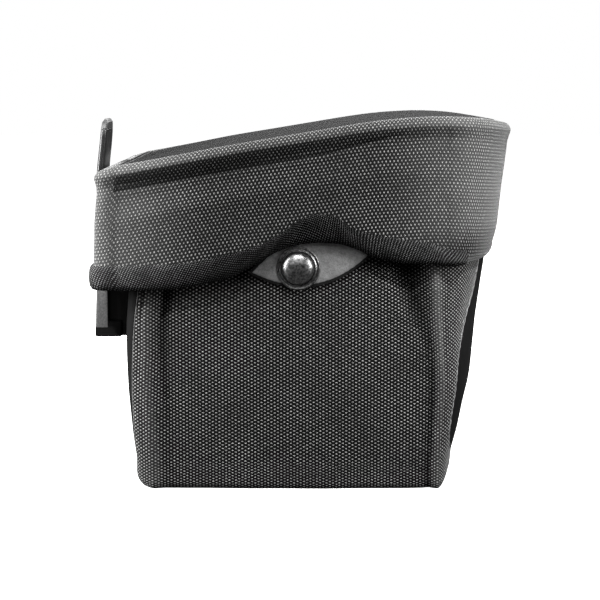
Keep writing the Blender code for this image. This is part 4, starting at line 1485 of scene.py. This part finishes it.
            # the tape is paler toward the back and toward the front: painted highlight
            back = min(max((0.0 - x) / 0.085, 0.0), 1.0)
            front = min(max((x - 0.015) / 0.055, 0.0), 1.0)
            return 0.75 * back ** 3.0 + 0.40 * front ** 1.8, 0.0

        tape = mapped_sheet(last, count, place, closed=True, wear=wear_and_light)
        bmesh.ops.holes_fill(tape, edges=tape.edges, sides=count)
        bmesh.ops.recalc_face_normals(tape, faces=tape.faces)
        return tape

    def build(self) -> None:
        """Builds and places the pieces of the lid."""
        Piece("lid_skirt_woven", self.skirt(), Finish.LID, "woven_fabric", ("lid_skirt",), self.wall).place()
        Piece("lid_top", self.top_panel(), Finish.LID_TOP, "coated_fabric", ("lid_top_panel",), 0.0016).place()
        Piece("lid_binding", self.binding(), Finish.TAPE, "binding_tape", ("lid_hem_binding",)).place()
        Piece("lid_top_stitches", self.top_stitches(), Finish.STITCH, "coated_fabric").place()


# Snap and its patch


@dataclass
class Snap:
    """The grey patch with its flanged ring and domed cap, on one side."""

    body: Body
    side: Side
    x: float = 0.0036
    z: float = 0.1111
    patch_x: float = 0.0095
    patch_z: float = 0.1130
    patch_length: float = 0.0551
    patch_sag: float = 0.0098
    patch_rise: float = 0.0125
    patch_tilt: float = math.radians(8.7)
    patch_wall: float = 0.0008
    patch_shadow_band: float = 0.0015
    cap_radius: float = 0.0080
    cap_height: float = 0.0066
    ring_radius: float = 0.0107

    @property
    def sign(self) -> int:
        """Gives the sign of Y on this side."""
        return self.side.value

    def face(self, x: float, z: float) -> float:
        """Gives the Y of the body's cloth under a place."""
        return self.sign * self.body.outline(z).half_width

    def patch(self) -> bmesh.types.BMesh:
        """Makes the eye-shaped patch, with a rounded edge and faint hollows."""
        steps, rows = 64, 20

        def place(column: int, row: int) -> tuple[Vector, Point]:
            share = 0.004 + 0.992 * column / steps
            lens = 4 * share * (1 - share)
            # the sheet reaches past the grey face by a band, which carries the painted shadow along its edge
            along = (share - 0.5) * (self.patch_length + 4 * self.patch_shadow_band)
            low = -(self.patch_sag + self.patch_shadow_band) * lens
            high = (self.patch_rise + self.patch_shadow_band) * lens
            rise = (1 - math.cos(math.pi * row / rows)) / 2
            up = low + (high - low) * rise
            x = self.patch_x + along * math.cos(self.patch_tilt) - up * math.sin(self.patch_tilt)
            z = self.patch_z + along * math.sin(self.patch_tilt) + up * math.cos(self.patch_tilt)
            inward = min(rise, 1 - rise) * (high - low)
            raised = min(inward / (self.patch_shadow_band * 1.4), 1.0)
            swell = 0.0006 * raised * raised + 0.0003 * noise.noise(Vector((x * 90.0, z * 90.0, 3.0)))
            y = self.face(x, z) + self.sign * (0.0001 + self.patch_wall + swell)
            return Vector((x, y, z)), (along, inward)

        sheet = mapped_sheet(steps, rows, place)
        if self.sign > 0:
            bmesh.ops.reverse_faces(sheet, faces=sheet.faces)
        return sheet

    def turned(self, profile: Sequence[Point], steps: int) -> bmesh.types.BMesh:
        """Turns a profile of (radius, height) pairs round the snap's axis."""
        made = bmesh.new()
        centre = Vector((self.x, self.face(self.x, self.z) + self.sign * 0.0014, self.z))
        verts = [made.verts.new((radius, 0.0, height)) for radius, height in profile]
        for start, end in zip(verts, verts[1:]):
            made.edges.new((start, end))
        bmesh.ops.spin(
            made, geom=made.verts[:] + made.edges[:], cent=(0, 0, 0), axis=(0, 0, 1), dvec=(0, 0, 0),
            angle=2 * math.pi, steps=steps, use_merge=True, use_duplicate=False,
        )
        bmesh.ops.remove_doubles(made, verts=made.verts, dist=1e-6)
        bmesh.ops.recalc_face_normals(made, faces=made.faces)
        turn = Matrix.Rotation(math.radians(-90 * self.sign), 4, "X")
        bmesh.ops.transform(made, matrix=Matrix.Translation(centre) @ turn, verts=made.verts)
        return made

    def cap(self) -> bmesh.types.BMesh:
        """Makes the domed cap, closed to its middle on both faces."""
        dome = []
        for step in range(15):
            angle = math.pi / 2 * step / 14
            radius = self.cap_radius * math.cos(angle) ** 0.9
            height = self.cap_height * (0.30 + 0.70 * math.sin(angle))
            dome.append((max(radius, 0.0) if step < 14 else 0.0, height))
        base = [(0.0, 0.0), (self.cap_radius * 0.97, 0.0), (self.cap_radius, 0.0005)]
        return self.turned(base + dome, 64)

    def ring(self) -> bmesh.types.BMesh:
        """Makes the ring: a flange with a rolled outer bead and a step inside it."""
        bore, reach = self.cap_radius + 0.0002, self.ring_radius
        profile = [
            (bore, 0.0), (reach - 0.0003, 0.0), (reach, 0.0003), (reach, 0.0007), (reach - 0.0003, 0.00115),
            (reach - 0.0007, 0.0012), (reach - 0.00105, 0.0009), (reach - 0.0013, 0.0008),
            (bore + 0.0008, 0.0011), (bore + 0.0005, 0.0016), (bore + 0.0002, 0.0016), (bore, 0.0012), (bore, 0.0),
        ]
        return self.turned(profile, 64)

    def build(self) -> None:
        """Builds and places the patch, the ring and the cap."""
        label = self.side.label
        Piece("patch_" + label, self.patch(), Finish.PATCH, "grey_patch", ("snap_patch_" + label,), 0.0009).place()
        Piece("ring_" + label, self.ring(), Finish.SNAP, "snap_black", ("snap_ring_" + label,)).place()
        Piece("cap_" + label, self.cap(), Finish.SNAP, "snap_black", ("snap_cap_" + label,)).place()


# Receiver and tongue


@dataclass
class Receiver:
    """The moulded receiver behind the body and the release tongue over it."""

    tongue_half_width: float = 0.017
    tongue_thickness: float = 0.0040
    tongue_corner: float = 0.009
    back: float = 0.1020
    tongue_top: float = 0.1821
    tip_height: float = 0.0055
    leans: Curve = Curve((0.0, 0.25, 0.44, 0.60, 0.78, 1.0), (0.988, 0.998, 1.002, 0.995, 0.983, 0.971))
    thickness: Curve = Curve((0.0, 0.10, 0.35, 0.8, 1.0), (0.80, 0.86, 1.12, 1.10, 0.95))

    def housing(self) -> bmesh.types.BMesh:
        """Copies the CAD receiver, merges it and dissolves its flat faces."""
        made = bmesh.new()
        made.from_mesh(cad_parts["mount_receiver"].data)
        bmesh.ops.remove_doubles(made, verts=made.verts, dist=1e-6)
        bmesh.ops.dissolve_limit(made, angle_limit=math.radians(2), verts=made.verts, edges=made.edges)
        bmesh.ops.recalc_face_normals(made, faces=made.faces)
        return made

    def level(self, z: float, bottom: float) -> tuple[float, float, float]:
        """Gives the tongue's place behind, half width and half thickness at a height."""
        share = (z - bottom) / (self.tongue_top - bottom)
        below = self.tongue_top - z
        width = self.tongue_half_width
        if below < self.tongue_corner:
            reach = math.sqrt(max(self.tongue_corner ** 2 - (self.tongue_corner - below) ** 2, 0.0))
            width = width - self.tongue_corner + reach
        thick = self.tongue_thickness / 2 * self.thickness.at(share)
        thick *= min(1.0, 0.35 + below / 0.0030)
        return self.back * self.leans.at(share), width, thick

    def loft(self, low: float, high: float, bottom: float) -> bmesh.types.BMesh:
        """Lofts a stretch of the tongue between two heights.

        Args:
            low: lower end.
            high: upper end.
            bottom: foot of the whole tongue.

        Returns:
            The closed loft.
        """
        sides, rows = 40, 26
        heights = [low + (high - low) * (1 - (1 - row / rows) ** 1.6) for row in range(rows + 1)]

        def place(column: int, row: int) -> tuple[Vector, Point]:
            z = heights[row]
            behind, width, thick = self.level(z, bottom)
            angle = 2 * math.pi * column / sides
            c, s = math.cos(angle), math.sin(angle)
            x = -behind + thick * math.copysign(abs(s) ** 0.55, s)
            y = width * math.copysign(abs(c) ** 0.38, c)
            return Vector((x, y, z)), (column / sides * 0.07, z)

        made = mapped_sheet(sides, rows, place, closed=True)
        bmesh.ops.holes_fill(made, edges=made.edges, sides=sides)
        bmesh.ops.recalc_face_normals(made, faces=made.faces)
        return made

    def build(self) -> None:
        """Builds and places the housing, the tongue and its tip."""
        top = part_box("mount_receiver")[1].z + 0.0003
        split = self.tongue_top - self.tip_height
        Piece(
            "receiver_housing", self.housing(), Finish.RECEIVER, "hard_plastic", ("mount_receiver",), rounding=0.0006
        ).place()
        tongue = self.loft(top, split - 0.0001, top)
        Piece("tongue_blade", tongue, Finish.TONGUE, "hard_plastic", ("release_tongue",)).place()
        tip = self.loft(split + 0.0001, self.tongue_top - 0.0001, top)
        Piece("tongue_cap", tip, Finish.TIP, "tip_plastic", ("tongue_tip",)).place()


# Studio


@dataclass(frozen=True)
class SoftBox:
    """One soft light, aimed at the bag."""

    name: str
    place: tuple[float, float, float]
    width: float
    height: float
    watts: float
    aim: tuple[float, float, float] = (0.0, 0.0, 0.09)

    def build(self) -> None:
        """Makes the light."""
        data = bpy.data.lights.new(self.name, "AREA")
        data.shape = "RECTANGLE"
        data.size = self.width
        data.size_y = self.height
        data.energy = self.watts
        lamp = bpy.data.objects.new(self.name, data)
        bpy.context.scene.collection.objects.link(lamp)
        lamp.location = self.place
        lamp.rotation_euler = (Vector(self.aim) - Vector(self.place)).to_track_quat("-Z", "Y").to_euler()


@dataclass(frozen=True)
class Snoot:
    """A lamp in a tube, whose pool of light fades from its middle."""

    name: str
    place: tuple[float, float, float]
    aim: tuple[float, float, float]
    angle: float
    watts: float
    radius: float = 0.03

    def build(self) -> None:
        """Makes the light."""
        data = bpy.data.lights.new(self.name, "SPOT")
        data.spot_size = self.angle
        data.spot_blend = 1.0
        data.shadow_soft_size = self.radius
        data.energy = self.watts
        lamp = bpy.data.objects.new(self.name, data)
        bpy.context.scene.collection.objects.link(lamp)
        lamp.location = self.place
        lamp.rotation_euler = (Vector(self.aim) - Vector(self.place)).to_track_quat("-Z", "Y").to_euler()


@dataclass
class Studio:
    """The pale floor, the soft lights and the camera."""

    lens: float = 115.2
    sensor: float = 36.0
    camera_place: tuple[float, float, float] = (0.0045, -1.039, 0.2025)
    camera_pitch: float = math.radians(6.5366)
    floor_reach: float = 6.0
    ambient: float = 0.06
    lights: tuple["SoftBox | Snoot", ...] = (
        SoftBox("key_box", (-0.04, -0.66, 1.28), 0.9, 0.5, 34.0),
        SoftBox("front_box", (-0.05, -1.00, 0.66), 1.1, 0.34, 3.4),
        SoftBox("right_box", (1.00, -0.44, 0.46), 0.35, 0.7, 22.0),
        SoftBox("left_box", (-1.05, -0.20, 0.50), 0.4, 0.8, 56.0),
        SoftBox("top_box", (0.0, 0.10, 1.30), 0.9, 0.5, 5.0),
        SoftBox("back_box", (0.30, 1.15, 0.85), 1.2, 0.7, 15.0),
        Snoot("right_snoot", (0.50, -0.62, 0.92), (0.105, -0.100, 0.150), math.radians(8.5), 80.0),
        Snoot("left_snoot", (-0.50, -0.62, 0.92), (-0.110, -0.100, 0.130), math.radians(8.0), 80.0),
    )

    def floor(self) -> None:
        """Makes the floor."""
        made = bmesh.new()
        bmesh.ops.create_grid(made, x_segments=2, y_segments=2, size=self.floor_reach)
        data = bpy.data.meshes.new("floor")
        made.to_mesh(data)
        made.free()
        data.materials.append(PalePaper().material())
        floor = bpy.data.objects.new("floor", data)
        bpy.context.scene.collection.objects.link(floor)
        floor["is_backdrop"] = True

    def world(self) -> None:
        """Makes a white surround, dimmer as a light than it looks."""
        world = bpy.data.worlds.new("studio")
        world.use_nodes = True
        nodes, links = world.node_tree.nodes, world.node_tree.links
        nodes.clear()
        seen = nodes.new("ShaderNodeLightPath")
        level = nodes.new("ShaderNodeMapRange")
        level.inputs["To Min"].default_value = self.ambient
        level.inputs["To Max"].default_value = 1.0
        light = nodes.new("ShaderNodeBackground")
        light.inputs["Color"].default_value = (1.0, 1.0, 1.0, 1.0)
        output = nodes.new("ShaderNodeOutputWorld")
        links.new(seen.outputs["Is Camera Ray"], level.inputs["Value"])
        links.new(level.outputs["Result"], light.inputs["Strength"])
        links.new(light.outputs["Background"], output.inputs["Surface"])
        bpy.context.scene.world = world

    def camera(self) -> None:
        """Makes the camera at the photograph's viewing angle."""
        data = bpy.data.cameras.new("camera")
        data.lens = self.lens
        data.sensor_width = self.sensor
        data.clip_start = 0.01
        data.clip_end = 50.0
        camera = bpy.data.objects.new("camera", data)
        bpy.context.scene.collection.objects.link(camera)
        camera.location = self.camera_place
        camera.rotation_euler = (math.pi / 2 - self.camera_pitch, 0.0, 0.0)
        bpy.context.scene.camera = camera

    def build(self) -> None:
        """Builds the whole studio."""
        bpy.context.scene.view_settings.view_transform = "Standard"
        self.floor()
        self.world()
        for light in self.lights:
            light.build()
        self.camera()


def write_sizes(boxes: Iterable[tuple[Vector, Vector]]) -> None:
    """Turns the CAD box and the dressed box into plain lists, and keeps nothing."""
    [[list(low), list(high)] for low, high in boxes]


def main() -> None:
    """Builds the bag and its studio in order."""
    logging.basicConfig(level=logging.INFO, format="%(name)s: %(message)s")
    body = Body()
    body.build()
    Lid(body).build()
    for side in Side:
        Snap(body, side).build()
    Receiver().build()
    Studio().build()
    write_sizes((CAD_BOX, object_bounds()))


if __name__ == "__main__":
    main()
